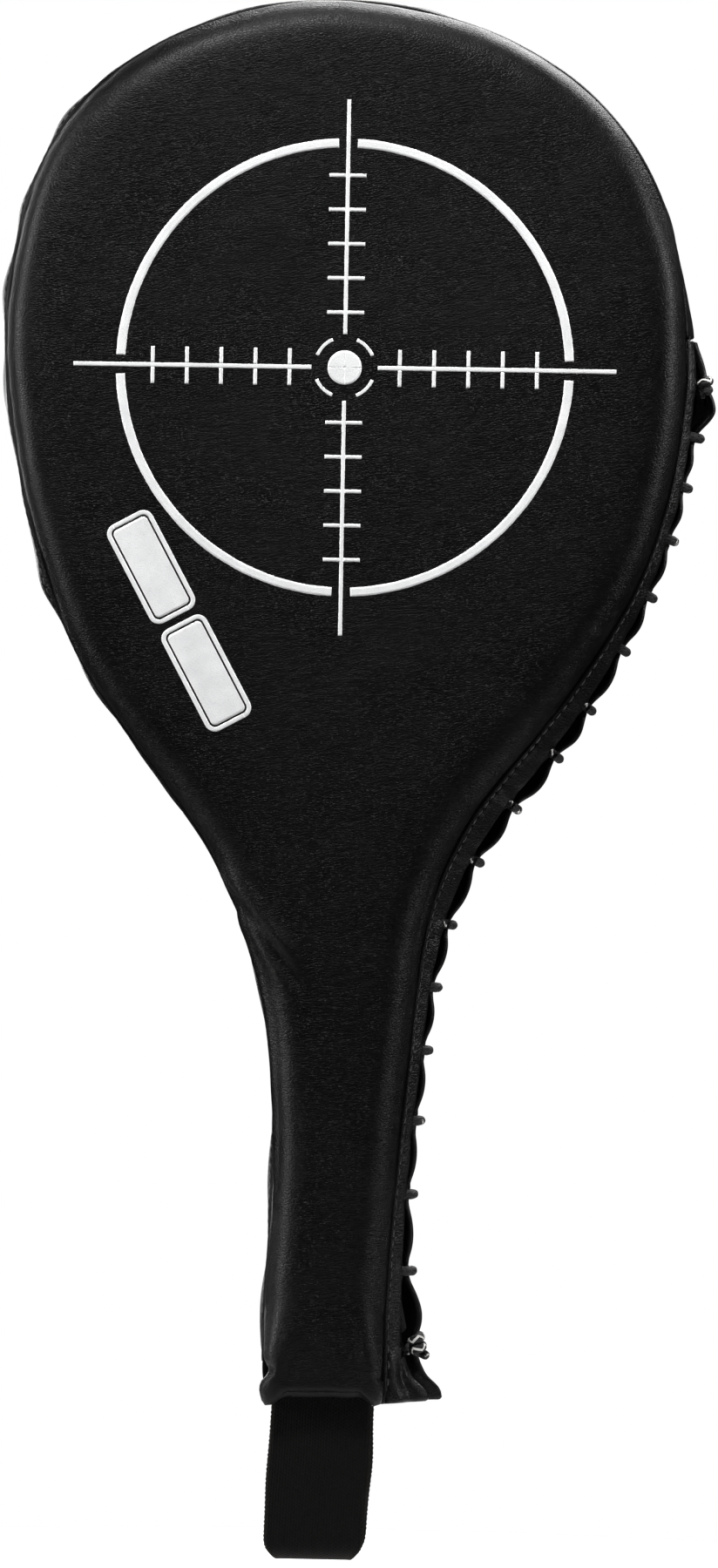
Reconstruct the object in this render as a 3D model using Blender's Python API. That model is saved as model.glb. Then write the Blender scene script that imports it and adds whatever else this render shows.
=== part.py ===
"""Kick paddle: a racket-shaped martial arts target with a padded head, a padded
handle, a laced side opening and an elastic wrist loop.

Frame: metres, +Z from the handle up to the head, the printed striking face looks
along -Y and the laced side is at +X. The origin is the middle of the hand grip.
Lengths below are in millimetres and are scaled to metres when a mesh is made.
"""

import math

import bmesh
import bpy
import numpy as np

MM = 0.001

# ---------------------------------------------------------------- dimensions
FACE_Y = 21.0  # half of the thickness over the two faces
SEAM_Y = 11.0  # height of the seam between a face and the side strip
SKIN = 1.2  # leather thickness
HEM = 2.2  # doubled leather at a folded edge
GAP = 0.3  # clearance between neighbouring pieces
ROLL = 9.6  # radius of the rolled edge of a face
ROLL_END = 4.0  # the same at the end of the handle
HEAD_Z = 251.7  # centre of the head and of the printed target
GUSSET_CROWN = 0.8  # outward crown of the side strip

# Outline of a face, clockwise as seen from the front, from the end of the handle
# up the left side, over the head and down the laced right side.
OUTLINE = (
    (0.0, -57.0),
    (-11.0, -57.0),
    (-16.2, -55.2),
    (-18.6, -50.0),
    (-18.7, -38.0),
    (-18.4, -24.0),
    (-17.2, -4.0),
    (-16.6, 14.0),
    (-17.1, 36.0),
    (-19.2, 54.0),
    (-22.9, 72.0),
    (-29.6, 91.5),
    (-40.2, 111.5),
    (-61.2, 139.8),
    (-79.0, 167.2),
    (-91.8, 202.0),
    (-98.2, 231.0),
    (-100.9, 256.0),
    (-99.0, 283.0),
    (-90.6, 311.5),
    (-75.5, 334.0),
    (-54.5, 348.8),
    (-29.0, 358.2),
    (1.0, 361.2),
    (31.0, 356.2),
    (56.5, 345.8),
    (75.5, 331.4),
    (90.8, 310.5),
    (99.6, 284.5),
    (102.6, 257.5),
    (100.4, 229.5),
    (93.8, 200.7),
    (80.6, 172.4),
    (58.6, 141.6),
    (40.6, 117.6),
    (29.9, 94.5),
    (25.5, 72.0),
    (22.4, 38.0),
    (19.9, 12.0),
    (18.0, -14.0),
    (17.2, -36.0),
    (16.9, -48.0),
    (14.6, -55.0),
    (9.5, -57.0),
)

# Side opening: where the lacing starts and ends, and how far the free edges of the
# front and the back flap stand out from the seam, as (height, front, back).
SLIT_TOP_Z = 262.0
SLIT_END_Z = -51.0
RIDGE = (
    (262.0, 1.2, 1.6),
    (254.0, 2.6, 5.0),
    (245.0, 2.6, 9.4),
    (239.0, 2.8, 7.2),
    (231.0, 3.2, 4.2),
    (200.0, 3.6, 4.4),
    (165.0, 5.0, 5.8),
    (138.0, 6.0, 7.0),
    (114.0, 7.0, 8.0),
    (92.0, 6.6, 7.4),
    (70.0, 5.0, 5.6),
    (48.0, 4.0, 4.6),
    (20.0, 3.6, 4.4),
    (0.0, 4.2, 5.0),
    (-18.0, 5.2, 6.6),
    (-32.0, 5.4, 9.6),
    (-40.0, 6.2, 9.8),
    (-46.0, 8.0, 11.0),
    (-51.0, 12.0, 13.4),
)
# Heights of the lace holes on the ridge, from the head down.
HOLE_Z = (247, 233, 218, 202, 185, 169, 152, 138, 122, 105, 86, 67, 48, 27, 5, -18, -41)
HOLE_D = 5.2
LACE_D = 3.4
LACE_CLEAR = 0.45

# Elastic wrist loop
WEB_W = 30.0  # webbing width
WEB_T = 1.8  # webbing thickness
LOOP_Y = 9.7  # half distance between the two strands
LOOP_ROOT_Z = -59.2  # where a strand bends as it leaves the handle
LOOP_BEND_Z = -94.3  # centre of the bend at the bottom
LOOP_X = -1.1  # middle of the webbing at its root
LOOP_LEAN = 0.045  # sideways lean of the hanging webbing
LOOP_CORNER = 3.4  # how much the edges draw in round the bend
ANCHOR_TOP_Z = -48.8

# Filling
FOAM_EDGE = 1.6  # foam edge in from the outline
FOAM_LACED = 5.8  # the same along the lacing, which leaves room for the lace
FOAM_END_Z = -48.0
PLATE_T = 3.0
PLATE_EDGE = 8.0
PLATE_END_Z = -44.0


# ------------------------------------------------------------------ outline
def periodic_spline(points, samples):
    """Smooth closed curve through the points, as evenly timed samples."""
    pts = np.array(points, float)
    n = len(pts)
    step = np.sqrt(np.linalg.norm(np.roll(pts, -1, 0) - pts, axis=1))
    step = step**1.4
    knots = np.concatenate([[0], np.cumsum(step)])
    matrix = np.zeros((n, n))
    right = np.zeros((n, 2))
    for i in range(n):
        before, after = step[i - 1], step[i]
        matrix[i, i - 1] += before
        matrix[i, i] += 2 * (before + after)
        matrix[i, (i + 1) % n] += after
        right[i] = 6 * (
            (pts[(i + 1) % n] - pts[i]) / after - (pts[i] - pts[i - 1]) / before
        )
    bend = np.linalg.solve(matrix, right)
    t = np.linspace(0, knots[-1], samples, endpoint=False)
    i = np.clip(np.searchsorted(knots, t, side="right") - 1, 0, n - 1)
    j = (i + 1) % n
    h = step[i][:, None]
    a = (knots[i + 1] - t)[:, None]
    b = (t - knots[i])[:, None]
    return (
        bend[i] * a**3 / (6 * h)
        + bend[j] * b**3 / (6 * h)
        + (pts[i] / h - bend[i] * h / 6) * a
        + (pts[j] / h - bend[j] * h / 6) * b
    )


DENSE = periodic_spline(OUTLINE, 4000)
DENSE_S = np.concatenate(
    [[0], np.cumsum(np.linalg.norm(np.roll(DENSE, -1, 0) - DENSE, axis=1))]
)
LENGTH = DENSE_S[-1]


def at(s):
    """Point, and outward direction, of the outline at a distance along it."""
    s = np.asarray(s, float) % LENGTH
    loop = np.vstack([DENSE, DENSE[:1]])

    def place(q):
        q = q % LENGTH
        return np.stack(
            [np.interp(q, DENSE_S, loop[:, 0]), np.interp(q, DENSE_S, loop[:, 1])], -1
        )

    ahead = place(s + 1.5) - place(s - 1.5)
    ahead /= np.linalg.norm(ahead, axis=-1, keepdims=True)
    return place(s), np.stack([-ahead[..., 1], ahead[..., 0]], -1)


def where(z, side):
    """Distance along the outline of the height z on the left (-1) or right (+1)."""
    index = np.arange(len(DENSE))
    top = int(np.argmax(DENSE[:, 1]))
    use = index[(index > 40) & (index < top)] if side < 0 else index[top:-40]
    order = use[np.argsort(DENSE[use, 1])]
    return float(np.interp(z, DENSE[order, 1], DENSE_S[order]))


def stations(start, end, spacing):
    """Distances from start to end, whose spacing follows a function of height."""
    fine = np.linspace(start, end, 3000)
    z = at(fine)[0][:, 1]
    weight = 1.0 / np.array([spacing(v) for v in z])
    total = np.concatenate(
        [[0], np.cumsum((weight[1:] + weight[:-1]) / 2 * np.diff(fine))]
    )
    count = max(2, int(round(total[-1])))
    return np.interp(np.linspace(0, total[-1], count + 1), total, fine)


def spacing_of(z):
    if z < -42:
        return 3.2
    if z < 160:
        return 10.5
    return 13.0


def smooth_step(x, low, high):
    t = np.clip((x - low) / (high - low), 0, 1)
    return t * t * (3 - 2 * t)


def ridge_at(z, side):
    """How far a flap's free edge stands out at an outline height."""
    heights = np.array([r[0] for r in RIDGE][::-1], float)
    values = np.array([r[1 if side < 0 else 2] for r in RIDGE][::-1], float)
    around = np.asarray(z, float)[..., None] + np.linspace(-4, 4, 9)
    return np.interp(around, heights, values).mean(-1)


# ------------------------------------------------------------------ meshes
def material(name, colour, rough, metallic=0.0):
    mat = bpy.data.materials.new(name)
    mat.use_nodes = True
    shader = mat.node_tree.nodes["Principled BSDF"]
    shader.inputs["Base Color"].default_value = (*colour, 1.0)
    shader.inputs["Roughness"].default_value = rough
    shader.inputs["Metallic"].default_value = metallic
    mat.diffuse_color = (*colour, 1.0)
    return mat


def add_object(name, data, mat, origin, parent):
    obj = bpy.data.objects.new(name, data)
    obj.data.materials.append(mat)
    obj.location = [v * MM for v in origin]
    obj.parent = parent
    bpy.context.scene.collection.objects.link(obj)
    return obj


def add_mesh(name, build, mat, parent, origin=(0, 0, 0), sharp=35):
    """A mesh object from a function that fills a bmesh in millimetres."""
    bm = bmesh.new()
    build(bm)
    bmesh.ops.translate(bm, vec=[-v for v in origin], verts=bm.verts)
    bmesh.ops.scale(bm, vec=(MM, MM, MM), verts=bm.verts)
    bmesh.ops.recalc_face_normals(bm, faces=bm.faces)
    mesh = bpy.data.meshes.new(name)
    bm.to_mesh(mesh)
    bm.free()
    mesh.shade_smooth()
    mesh.set_sharp_from_angle(angle=math.radians(sharp))
    return add_object(name, mesh, mat, origin, parent)


def loft(rings, ring_closed=True, cap=True):
    """A function that skins a list of rings of points with quads and end caps."""

    def build(bm):
        rows = [[bm.verts.new(p) for p in ring] for ring in rings]
        count = len(rows[0])
        for low, high in zip(rows, rows[1:]):
            for i in range(count if ring_closed else count - 1):
                j = (i + 1) % count
                bm.faces.new((low[i], low[j], high[j], high[i]))
        if cap:
            bm.faces.new(rows[0])
            bm.faces.new(rows[-1][::-1])

    return build


def add_tube(name, points, diameter, mat, parent, origin=(0, 0, 0), sides=2):
    """A round cord through points, with closed ends."""
    curve = bpy.data.curves.new(name, "CURVE")
    curve.dimensions = "3D"
    curve.bevel_depth = diameter / 2 * MM
    curve.bevel_resolution = sides
    curve.use_fill_caps = True
    curve.twist_mode = "MINIMUM"
    spline = curve.splines.new("POLY")
    spline.points.add(len(points) - 1)
    for slot, p in zip(spline.points, points):
        slot.co = (*[(v - o) * MM for v, o in zip(p, origin)], 1.0)
    spline.use_smooth = True
    return add_object(name, curve, mat, origin, parent)


def smooth_path(points, per_span):
    """Catmull-Rom curve through points."""
    p = np.array(points, float)
    p = np.vstack([2 * p[0] - p[1], p, 2 * p[-1] - p[-2]])
    out = []
    for i in range(1, len(p) - 2):
        a, b, c, d = p[i - 1 : i + 3]
        for k in range(per_span):
            t = k / per_span
            out.append(
                0.5
                * (
                    2 * b
                    + (c - a) * t
                    + (2 * a - 5 * b + 4 * c - d) * t * t
                    + (3 * b - a - 3 * c + d) * t**3
                )
            )
    out.append(p[-2])
    return np.array(out)


# ------------------------------------------------------------------- pieces
def roll_at(z):
    """Radius of the rolled edge, smaller at the end of the handle."""
    return ROLL_END + (ROLL - ROLL_END) * smooth_step(z, -48.0, -26.0)


def face_panel(side):
    """Rings of one leather face: the flat, the roll to the seam and the inside."""
    s = stations(0, LENGTH, spacing_of)[:-1]
    point, out = at(s)
    radius = roll_at(point[:, 1])[:, None]

    def ring(inset, y):
        p = point - out * inset
        return [(a, side * float(h), b) for (a, b), h in zip(p, np.ravel(y))]

    rings = []
    for turn in (90, 45, 0):
        a = math.radians(turn)
        rings.append(
            ring(radius * (1 - math.cos(a)), FACE_Y - radius * (1 - math.sin(a)))
        )
    rings.append(ring(0 * radius, SEAM_Y + 0 * radius))
    rings.append(ring(SKIN + 0 * radius, SEAM_Y + 0 * radius))
    for turn in (0, 45, 90):
        a = math.radians(turn)
        inner = radius - SKIN
        rings.append(
            ring(radius - inner * math.cos(a), FACE_Y - radius + inner * math.sin(a))
        )
    return rings


def strip(s, profile):
    """Rings of a strip that follows the outline; profile gives (out, y) pairs."""
    point, out = at(s)
    rings = []
    for p, o in zip(point, out):
        rings.append(
            [(p[0] + o[0] * n, y, p[1] + o[1] * n) for n, y in profile(p[1])]
        )
    return rings


def gusset_profile(_z):
    edge = SEAM_Y - GAP
    outer = [(0, -edge), (GUSSET_CROWN, -5), (GUSSET_CROWN, 5), (0, edge)]
    return outer + [(n - SKIN, y) for n, y in outer[::-1]]


def flap_outer(z, side):
    """Outer surface of a flap, from the seam to its folded edge, as if in front."""
    b = float(ridge_at(z, side))
    return np.array(
        [
            (0.0, -(SEAM_Y - GAP)),
            (0.28 * b + 0.5, -8.2),
            (0.66 * b + 0.9, -5.5),
            (b, -(1.9 + 0.07 * b)),
        ]
    )


def flap_normals(outer):
    ahead = np.gradient(outer, axis=0)
    ahead[0], ahead[-1] = outer[1] - outer[0], outer[-1] - outer[-2]
    ahead /= np.linalg.norm(ahead, axis=1)[:, None]
    return np.stack([ahead[:, 1], -ahead[:, 0]], 1)


def flap_profile(side):
    def profile(z):
        outer = flap_outer(z, side)
        out = flap_normals(outer)
        thick = np.array([SKIN, SKIN, SKIN * 1.25, HEM])[:, None]
        inner = outer - out * thick
        inner[0] = (-SKIN, outer[0][1])
        loop = np.vstack([outer, inner[::-1]])
        return [(float(n), -side * float(y)) for n, y in loop]

    return profile


def ridge_s(z):
    """Distance along the outline whose ridge point has the height z."""
    fine = np.linspace(where(SLIT_TOP_Z, 1), where(SLIT_END_Z, 1), 1200)
    point, out = at(fine)
    edge = (ridge_at(point[:, 1], -1) + ridge_at(point[:, 1], 1)) / 2
    height = point[:, 1] + out[:, 1] * edge
    return float(fine[int(np.argmin(np.abs(height - z)))])


def in_section(s, n, y):
    """World point from a distance out of the outline and a depth."""
    point, out = at(s)
    return np.array([point[0] + out[0] * n, y, point[1] + out[1] * n])


def hole_frame(s, side):
    """Centre of a lace hole in a flap, and the direction that it is punched in."""
    z = float(at(s)[0][1])
    outer = flap_outer(z, side)
    out = flap_normals(outer)
    centre, axis = outer[2], out[2]
    out2 = at(s)[1]
    middle = in_section(s, centre[0], -side * centre[1])
    direction = np.array([out2[0] * axis[0], -side * axis[1], out2[1] * axis[0]])
    return middle, direction / np.linalg.norm(direction)


def lace_section(s, side, first):
    """Lace points at one hole on one side: over the ridge or in through the hole."""
    z = float(at(s)[0][1])
    outer = flap_outer(z, side)
    out = flap_normals(outer)
    lift = LACE_D / 2 + LACE_CLEAR
    ridge = outer[3]
    inside_n = min(
        outer[2][0] - out[2][0] * 4.2, (ridge - out[3] * HEM)[0] - lift - 0.3
    )
    inside_y = -max(1.2, abs(outer[2][1]) - abs(out[2][1]) * 4.2 - 0.6)
    pts = [
        (inside_n, inside_y),
        tuple(outer[2] - out[2] * 0.6),
        tuple(outer[2] + out[2] * (lift + 0.15)),
        tuple(ridge + out[3] * lift),
    ]
    pts = [in_section(s, n, -side * y) for n, y in pts]
    return pts if first else pts[::-1]


def lace_points():
    """The whole route of the lace: over the ridge at a pair of holes, then inside
    to the next pair."""
    route = []
    holes = [ridge_s(z) for z in HOLE_Z]
    first, last = holes[0], holes[-1]
    route.append(lace_section(first + 4.5, -1, True)[0] * 1.0)
    for s in holes[1:-1]:
        z = float(at(s)[0][1])
        b = max(float(ridge_at(z, -1)), float(ridge_at(z, 1)))
        top = in_section(s, b + LACE_D / 2 + LACE_CLEAR + 0.35, 0.0)
        route += lace_section(s, -1, True)
        route.append(top)
        route += lace_section(s, 1, False)
    route.append(lace_section(last - 4.5, 1, False)[-1])
    return smooth_path(route, 1)


def knot_points(z, turns, half_n, half_y, pitch, middle_y):
    """A stack of wraps of the lace that lies on the front flap's free edge."""
    s = ridge_s(z)
    count = int(turns * 10)
    out = []
    for k in range(count + 1):
        a = 2 * math.pi * k / 10 + math.pi / 2
        along = (k / count - 0.5) * turns * pitch
        near = [float(ridge_at(at(s + along + d)[0][1], -1)) for d in (-2, 0, 2)]
        n = max(near) + LACE_D / 2 + 0.55 + half_n * (1 - math.cos(a))
        out.append(in_section(s + along, n, middle_y + half_y * math.sin(a)))
    return out


def thread_points(side):
    """Topstitching beside a seam, along the side strip and then along a flap."""
    s = stations(
        where(-44.0, -1), where(SLIT_END_Z, 1) - 1.0, lambda z: spacing_of(z) * 1.15
    )
    slit = where(SLIT_TOP_Z, 1)
    pts = []
    for v in s:
        z = float(at(v)[0][1])
        lift = 0.7
        gusset = np.array([GUSSET_CROWN * 0.22 + lift, -9.45])
        outer = flap_outer(z, side)
        mid = outer[0] * 0.5 + outer[1] * 0.5
        flap = mid + flap_normals(outer)[0] * (lift + 0.1)
        blend = smooth_step(v, slit - 8.0, slit + 1.0)
        n, y = gusset * (1 - blend) + flap * blend
        pts.append(in_section(v, n, -side * y))
    return pts


def foam_pad(side):
    """Rings of one foam sheet, flat against the plate and rounded at the face."""
    s = stations(
        where(FOAM_END_Z, -1) + 0.5, where(FOAM_END_Z, 1) - 0.5, spacing_of
    )
    point, out = at(s)
    z = point[:, 1]
    half = len(s) // 2
    laced = np.zeros(len(s))
    laced[half:] = smooth_step(-z[half:], -(SLIT_TOP_Z + 26), -(SLIT_TOP_Z + 2))
    radius = roll_at(z)
    rings = []
    centre_y = FACE_Y - ROLL
    fill = ROLL - SKIN - 0.4
    levels = (
        (PLATE_T / 2 + GAP, 0.0),
        (centre_y, 0.0),
        (centre_y + fill * math.sin(math.pi / 4), fill * (1 - math.cos(math.pi / 4))),
        (centre_y + fill, fill),
    )
    for y, inset in levels:
        edge = FOAM_EDGE * (1 - laced) + FOAM_LACED * laced
        grow = np.where(laced > 0, np.maximum(0, inset - (edge - FOAM_EDGE)), inset)
        grow = grow + 0.12 * inset * laced
        p = point - out * (edge + grow * (0.35 + 0.65 * radius / ROLL))[:, None]
        p[:, 1] = np.maximum(p[:, 1], FOAM_END_Z)
        rings.append([(a, side * y, b) for a, b in p])
    return rings


def plate():
    """Rings of the stiffening plate."""
    s = stations(where(PLATE_END_Z, -1), where(PLATE_END_Z, 1), spacing_of)
    point, out = at(s)
    p = point - out * PLATE_EDGE
    return [[(a, y, b) for a, b in p] for y in (-PLATE_T / 2, PLATE_T / 2)]


def cap_profile(z):
    """Section of the piece that closes the end of the handle."""
    swell = 2.3 * float(smooth_step(-z, 50.0, 56.0))
    outer = [(0.0, -8.4), (0.75 * swell, -4.5), (swell, 0.0), (0.75 * swell, 4.5)]
    outer.append((0.0, 8.4))
    return outer + [(n - SKIN, y) for n, y in outer[::-1]]


def web_x(z, edge):
    """Sideways place of an edge of the webbing (-1 left, +1 right) at a height."""
    return LOOP_X - LOOP_LEAN * (LOOP_ROOT_Z - z) + edge * WEB_W / 2


def strand(side):
    """Straight run of the webbing, with round ends on its two bending lines."""
    half = WEB_T / 2
    section = []
    for turn in range(0, 181, 30):
        a = math.radians(turn)
        section.append((half * math.cos(a), LOOP_ROOT_Z + half * math.sin(a)))
    for turn in range(180, 361, 30):
        a = math.radians(turn)
        section.append((half * math.cos(a), LOOP_BEND_Z + half * math.sin(a)))
    return [
        [(web_x(z, edge), side * LOOP_Y + y, z) for y, z in section]
        for edge in (-1, 1)
    ]


def fold():
    """Bend of the webbing at the bottom of the loop."""
    drop = WEB_T / 2 + GAP
    rings = []
    path = [(-LOOP_Y, LOOP_BEND_Z - drop, 0.0)]
    for turn in range(0, 181, 15):
        a = math.radians(turn)
        y, z = -LOOP_Y * math.cos(a), LOOP_BEND_Z - drop - 0.4 - 8.1 * math.sin(a)
        path.append((y, z, a))
    path.append((LOOP_Y, LOOP_BEND_Z - drop, math.pi))
    for y, z, a in path:
        out = np.array([-math.cos(a), -math.sin(a)])
        draw = LOOP_CORNER * math.sin(a) ** 4
        ring = []
        for depth, edge in ((1, -1), (1, 1), (-1, 1), (-1, -1)):
            oy, oz = out * depth * WEB_T / 2
            x = web_x(z, edge) - edge * draw
            ring.append((x, y + oy, z + oz))
        rings.append(ring)
    return rings


def anchor(side):
    """Sewn-in end of the webbing, inside the seam."""
    half = WEB_T / 2
    rings = []
    for z in (LOOP_ROOT_Z + half + GAP, ANCHOR_TOP_Z):
        narrow = 1.3
        left, right = web_x(z, -1) + narrow, web_x(z, 1) - narrow
        y = side * LOOP_Y
        rings.append(
            [
                (left, y - half, z),
                (right, y - half, z),
                (right, y + half, z),
                (left, y + half, z),
            ]
        )
    return rings


# ------------------------------------------------------------------- build
def clear_scene():
    for obj in list(bpy.data.objects):
        bpy.data.objects.remove(obj, do_unlink=True)


def build():
    clear_scene()
    paddle = bpy.data.objects.new("paddle", None)
    bpy.context.scene.collection.objects.link(paddle)

    leather = material("face_leather", (0.012, 0.012, 0.013), 0.42)
    gusset_leather = material("side_leather", (0.015, 0.015, 0.016), 0.4)
    flap_leather = material("flap_leather", (0.02, 0.019, 0.02), 0.45)
    cap_leather = material("cap_leather", (0.016, 0.016, 0.017), 0.45)
    foam = material("foam", (0.045, 0.045, 0.048), 0.9)
    plate_plastic = material("plate_plastic", (0.6, 0.6, 0.58), 0.5)
    cord = material("lace", (0.008, 0.008, 0.008), 0.8)
    thread = material("thread", (0.01, 0.01, 0.01), 0.6)
    webbing = material("webbing", (0.011, 0.011, 0.011), 0.85)

    face_origin = lambda side: (0, side * SEAM_Y, HEAD_Z)
    for name, side in (("front_panel", -1), ("back_panel", 1)):
        add_mesh(name, loft(face_panel(side)), leather, paddle, face_origin(side))

    slit = where(SLIT_TOP_Z, 1)
    end = where(SLIT_END_Z, 1)
    start = where(-45.0, -1)
    add_mesh(
        "side_gusset",
        loft(strip(stations(start, slit - GAP / 2, spacing_of), gusset_profile)),
        gusset_leather,
        paddle,
        (0, 0, HEAD_Z),
    )

    # Lace holes: one cutter, made of a short rod through each flap at each hole.
    for name, side in (("lace_flap_front", -1), ("lace_flap_back", 1)):
        s = stations(slit + GAP / 2, end, lambda z: 6.6 if z > -38 else 3.6)
        rings = strip(s, flap_profile(side))
        flap = add_mesh(name, loft(rings), flap_leather, paddle, (70, 0, 120))

        def rods(bm, side=side):
            for z in HOLE_Z:
                middle, axis = hole_frame(ridge_s(z), side)
                across = np.cross(axis, (0.3, 0.2, 0.9))
                across /= np.linalg.norm(across)
                up = np.cross(axis, across)
                ends = []
                for shift in (-3.2, 3.0):
                    ring = []
                    for k in range(10):
                        a = 2 * math.pi * k / 10
                        p = middle + axis * shift
                        p = p + (across * math.cos(a) + up * math.sin(a)) * HOLE_D / 2
                        ring.append(bm.verts.new(p))
                    ends.append(ring)
                for k in range(10):
                    j = (k + 1) % 10
                    bm.faces.new((ends[0][k], ends[0][j], ends[1][j], ends[1][k]))
                bm.faces.new(ends[0])
                bm.faces.new(ends[1][::-1])

        cutter = add_mesh(name + "_punch", rods, flap_leather, paddle, (70, 0, 120))
        cutter.hide_render = True
        cutter.display_type = "WIRE"
        cut = flap.modifiers.new("lace_holes", "BOOLEAN")
        cut.operation = "DIFFERENCE"
        cut.solver = "EXACT"
        cut.object = cutter

    # End of the handle, between the left corner and the lacing.
    low = where(-45.0, -1) - GAP
    around = np.concatenate(
        [
            stations(end + 1.6, LENGTH - 0.01, spacing_of),
            LENGTH + stations(3.0, low, spacing_of),
        ]
    )
    add_mesh(
        "handle_end_cap",
        loft(strip(around, cap_profile)),
        cap_leather,
        paddle,
        (0, 0, -57),
    )

    add_mesh("front_foam_pad", loft(foam_pad(-1)), foam, paddle, (0, -2, HEAD_Z))
    add_mesh("rear_foam_pad", loft(foam_pad(1)), foam, paddle, (0, 2, HEAD_Z))
    add_mesh("stiffener_plate", loft(plate()), plate_plastic, paddle)

    add_tube("lace_cord", lace_points(), LACE_D, cord, paddle, (70, 0, 120))
    add_tube(
        "lace_start_knot",
        knot_points(HOLE_Z[0] + 1.5, 2.0, 1.75, 2.2, 3.8, -3.0),
        LACE_D,
        cord,
        paddle,
        (108, 0, 247),
    )
    add_tube(
        "lace_end_knot",
        knot_points(HOLE_Z[-1] + 1.0, 2.3, 1.75, 2.6, 3.8, -3.6),
        LACE_D,
        cord,
        paddle,
        (27, 0, -41),
    )
    for name, side in (("front_seam_thread", -1), ("back_seam_thread", 1)):
        origin = (0, side * 9.5, HEAD_Z)
        add_tube(name, thread_points(side), 0.7, thread, paddle, origin, 0)

    # Wrist loop: each strand turns about the line where it leaves the handle, and
    # the bend turns about the lower end of the front strand.
    for name, side in (("strap_front_anchor", -1), ("strap_back_anchor", 1)):
        add_mesh(name, loft(anchor(side)), webbing, paddle, (0, side * LOOP_Y, -57))
    for name, side in (("strap_front_strand", -1), ("strap_back_strand", 1)):
        origin = (LOOP_X, side * LOOP_Y, LOOP_ROOT_Z)
        add_mesh(name, loft(strand(side)), webbing, paddle, origin)
    fold_origin = (LOOP_X, -LOOP_Y, LOOP_BEND_Z)
    add_mesh("strap_fold", loft(fold()), webbing, paddle, fold_origin)


build()
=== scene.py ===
"""Looks of the kick paddle: leather covers with their seams, folds and grain, the laced
side opening, the braided lace, the elastic wrist loop and the white target print.

Lengths below are in millimetres and are scaled to metres when a mesh is made. The frame
is the CAD model's: +Z up the paddle, the printed face looks along -Y, the lacing at +X.
"""

import math

import bmesh
import bpy
import numpy as np
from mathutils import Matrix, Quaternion, Vector
from mathutils.bvhtree import BVHTree


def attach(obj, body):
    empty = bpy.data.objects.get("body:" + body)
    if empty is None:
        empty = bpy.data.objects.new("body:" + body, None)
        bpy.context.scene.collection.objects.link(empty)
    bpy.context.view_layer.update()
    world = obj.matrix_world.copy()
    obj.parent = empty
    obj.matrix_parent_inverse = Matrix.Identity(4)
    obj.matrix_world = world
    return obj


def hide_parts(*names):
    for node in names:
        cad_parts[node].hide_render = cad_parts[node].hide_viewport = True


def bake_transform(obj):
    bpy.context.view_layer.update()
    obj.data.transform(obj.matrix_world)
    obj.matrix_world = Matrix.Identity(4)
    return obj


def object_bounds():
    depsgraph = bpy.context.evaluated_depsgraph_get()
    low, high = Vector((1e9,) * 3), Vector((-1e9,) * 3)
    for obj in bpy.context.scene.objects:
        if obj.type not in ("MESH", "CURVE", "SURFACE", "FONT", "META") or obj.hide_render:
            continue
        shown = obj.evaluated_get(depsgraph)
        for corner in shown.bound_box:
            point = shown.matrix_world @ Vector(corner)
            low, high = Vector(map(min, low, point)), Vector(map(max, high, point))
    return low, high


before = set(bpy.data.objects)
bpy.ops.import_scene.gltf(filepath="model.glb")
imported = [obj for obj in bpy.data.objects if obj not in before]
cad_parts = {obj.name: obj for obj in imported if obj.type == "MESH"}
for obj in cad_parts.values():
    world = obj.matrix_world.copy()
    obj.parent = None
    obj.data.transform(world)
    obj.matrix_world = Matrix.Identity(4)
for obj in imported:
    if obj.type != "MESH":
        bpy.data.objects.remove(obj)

CAD_BOX = [[float(v) for v in corner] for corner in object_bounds()]
MM = 0.001

# ---------------------------------------------------------------- dimensions
FACE_Y = 21.0  # half of the thickness over the two faces
SEAM_Y = 11.0  # height of the seam between a face and the side strip
SKIN = 1.2  # leather thickness
HEM = 2.2  # doubled leather at a folded edge
ROLL = 9.6  # radius of the rolled edge of a face
ROLL_END = 4.0  # the same at the end of the handle
HEAD_Z = 251.3  # centre of the head and of the printed target
PRINT_X = 0.8

OUTLINE = (
    (0.0, -57.0),
    (-11.0, -57.0),
    (-16.2, -55.2),
    (-18.6, -50.0),
    (-18.7, -38.0),
    (-18.4, -24.0),
    (-17.2, -4.0),
    (-16.6, 14.0),
    (-17.1, 36.0),
    (-19.2, 54.0),
    (-22.9, 72.0),
    (-29.6, 91.5),
    (-40.2, 111.5),
    (-61.2, 139.8),
    (-79.0, 167.2),
    (-91.8, 202.0),
    (-98.2, 231.0),
    (-100.9, 256.0),
    (-99.0, 283.0),
    (-90.6, 311.5),
    (-75.5, 334.0),
    (-54.5, 348.8),
    (-29.0, 358.2),
    (1.0, 361.2),
    (31.0, 356.2),
    (56.5, 345.8),
    (75.5, 331.4),
    (90.8, 310.5),
    (99.6, 284.5),
    (102.6, 257.5),
    (100.4, 229.5),
    (93.8, 200.7),
    (80.6, 172.4),
    (58.6, 141.6),
    (40.6, 117.6),
    (29.9, 94.5),
    (25.5, 72.0),
    (22.4, 38.0),
    (19.9, 12.0),
    (18.0, -14.0),
    (17.2, -36.0),
    (16.9, -48.0),
    (14.6, -55.0),
    (9.5, -57.0),
)

SLIT_TOP_Z = 262.0
SLIT_END_Z = -51.0
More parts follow.
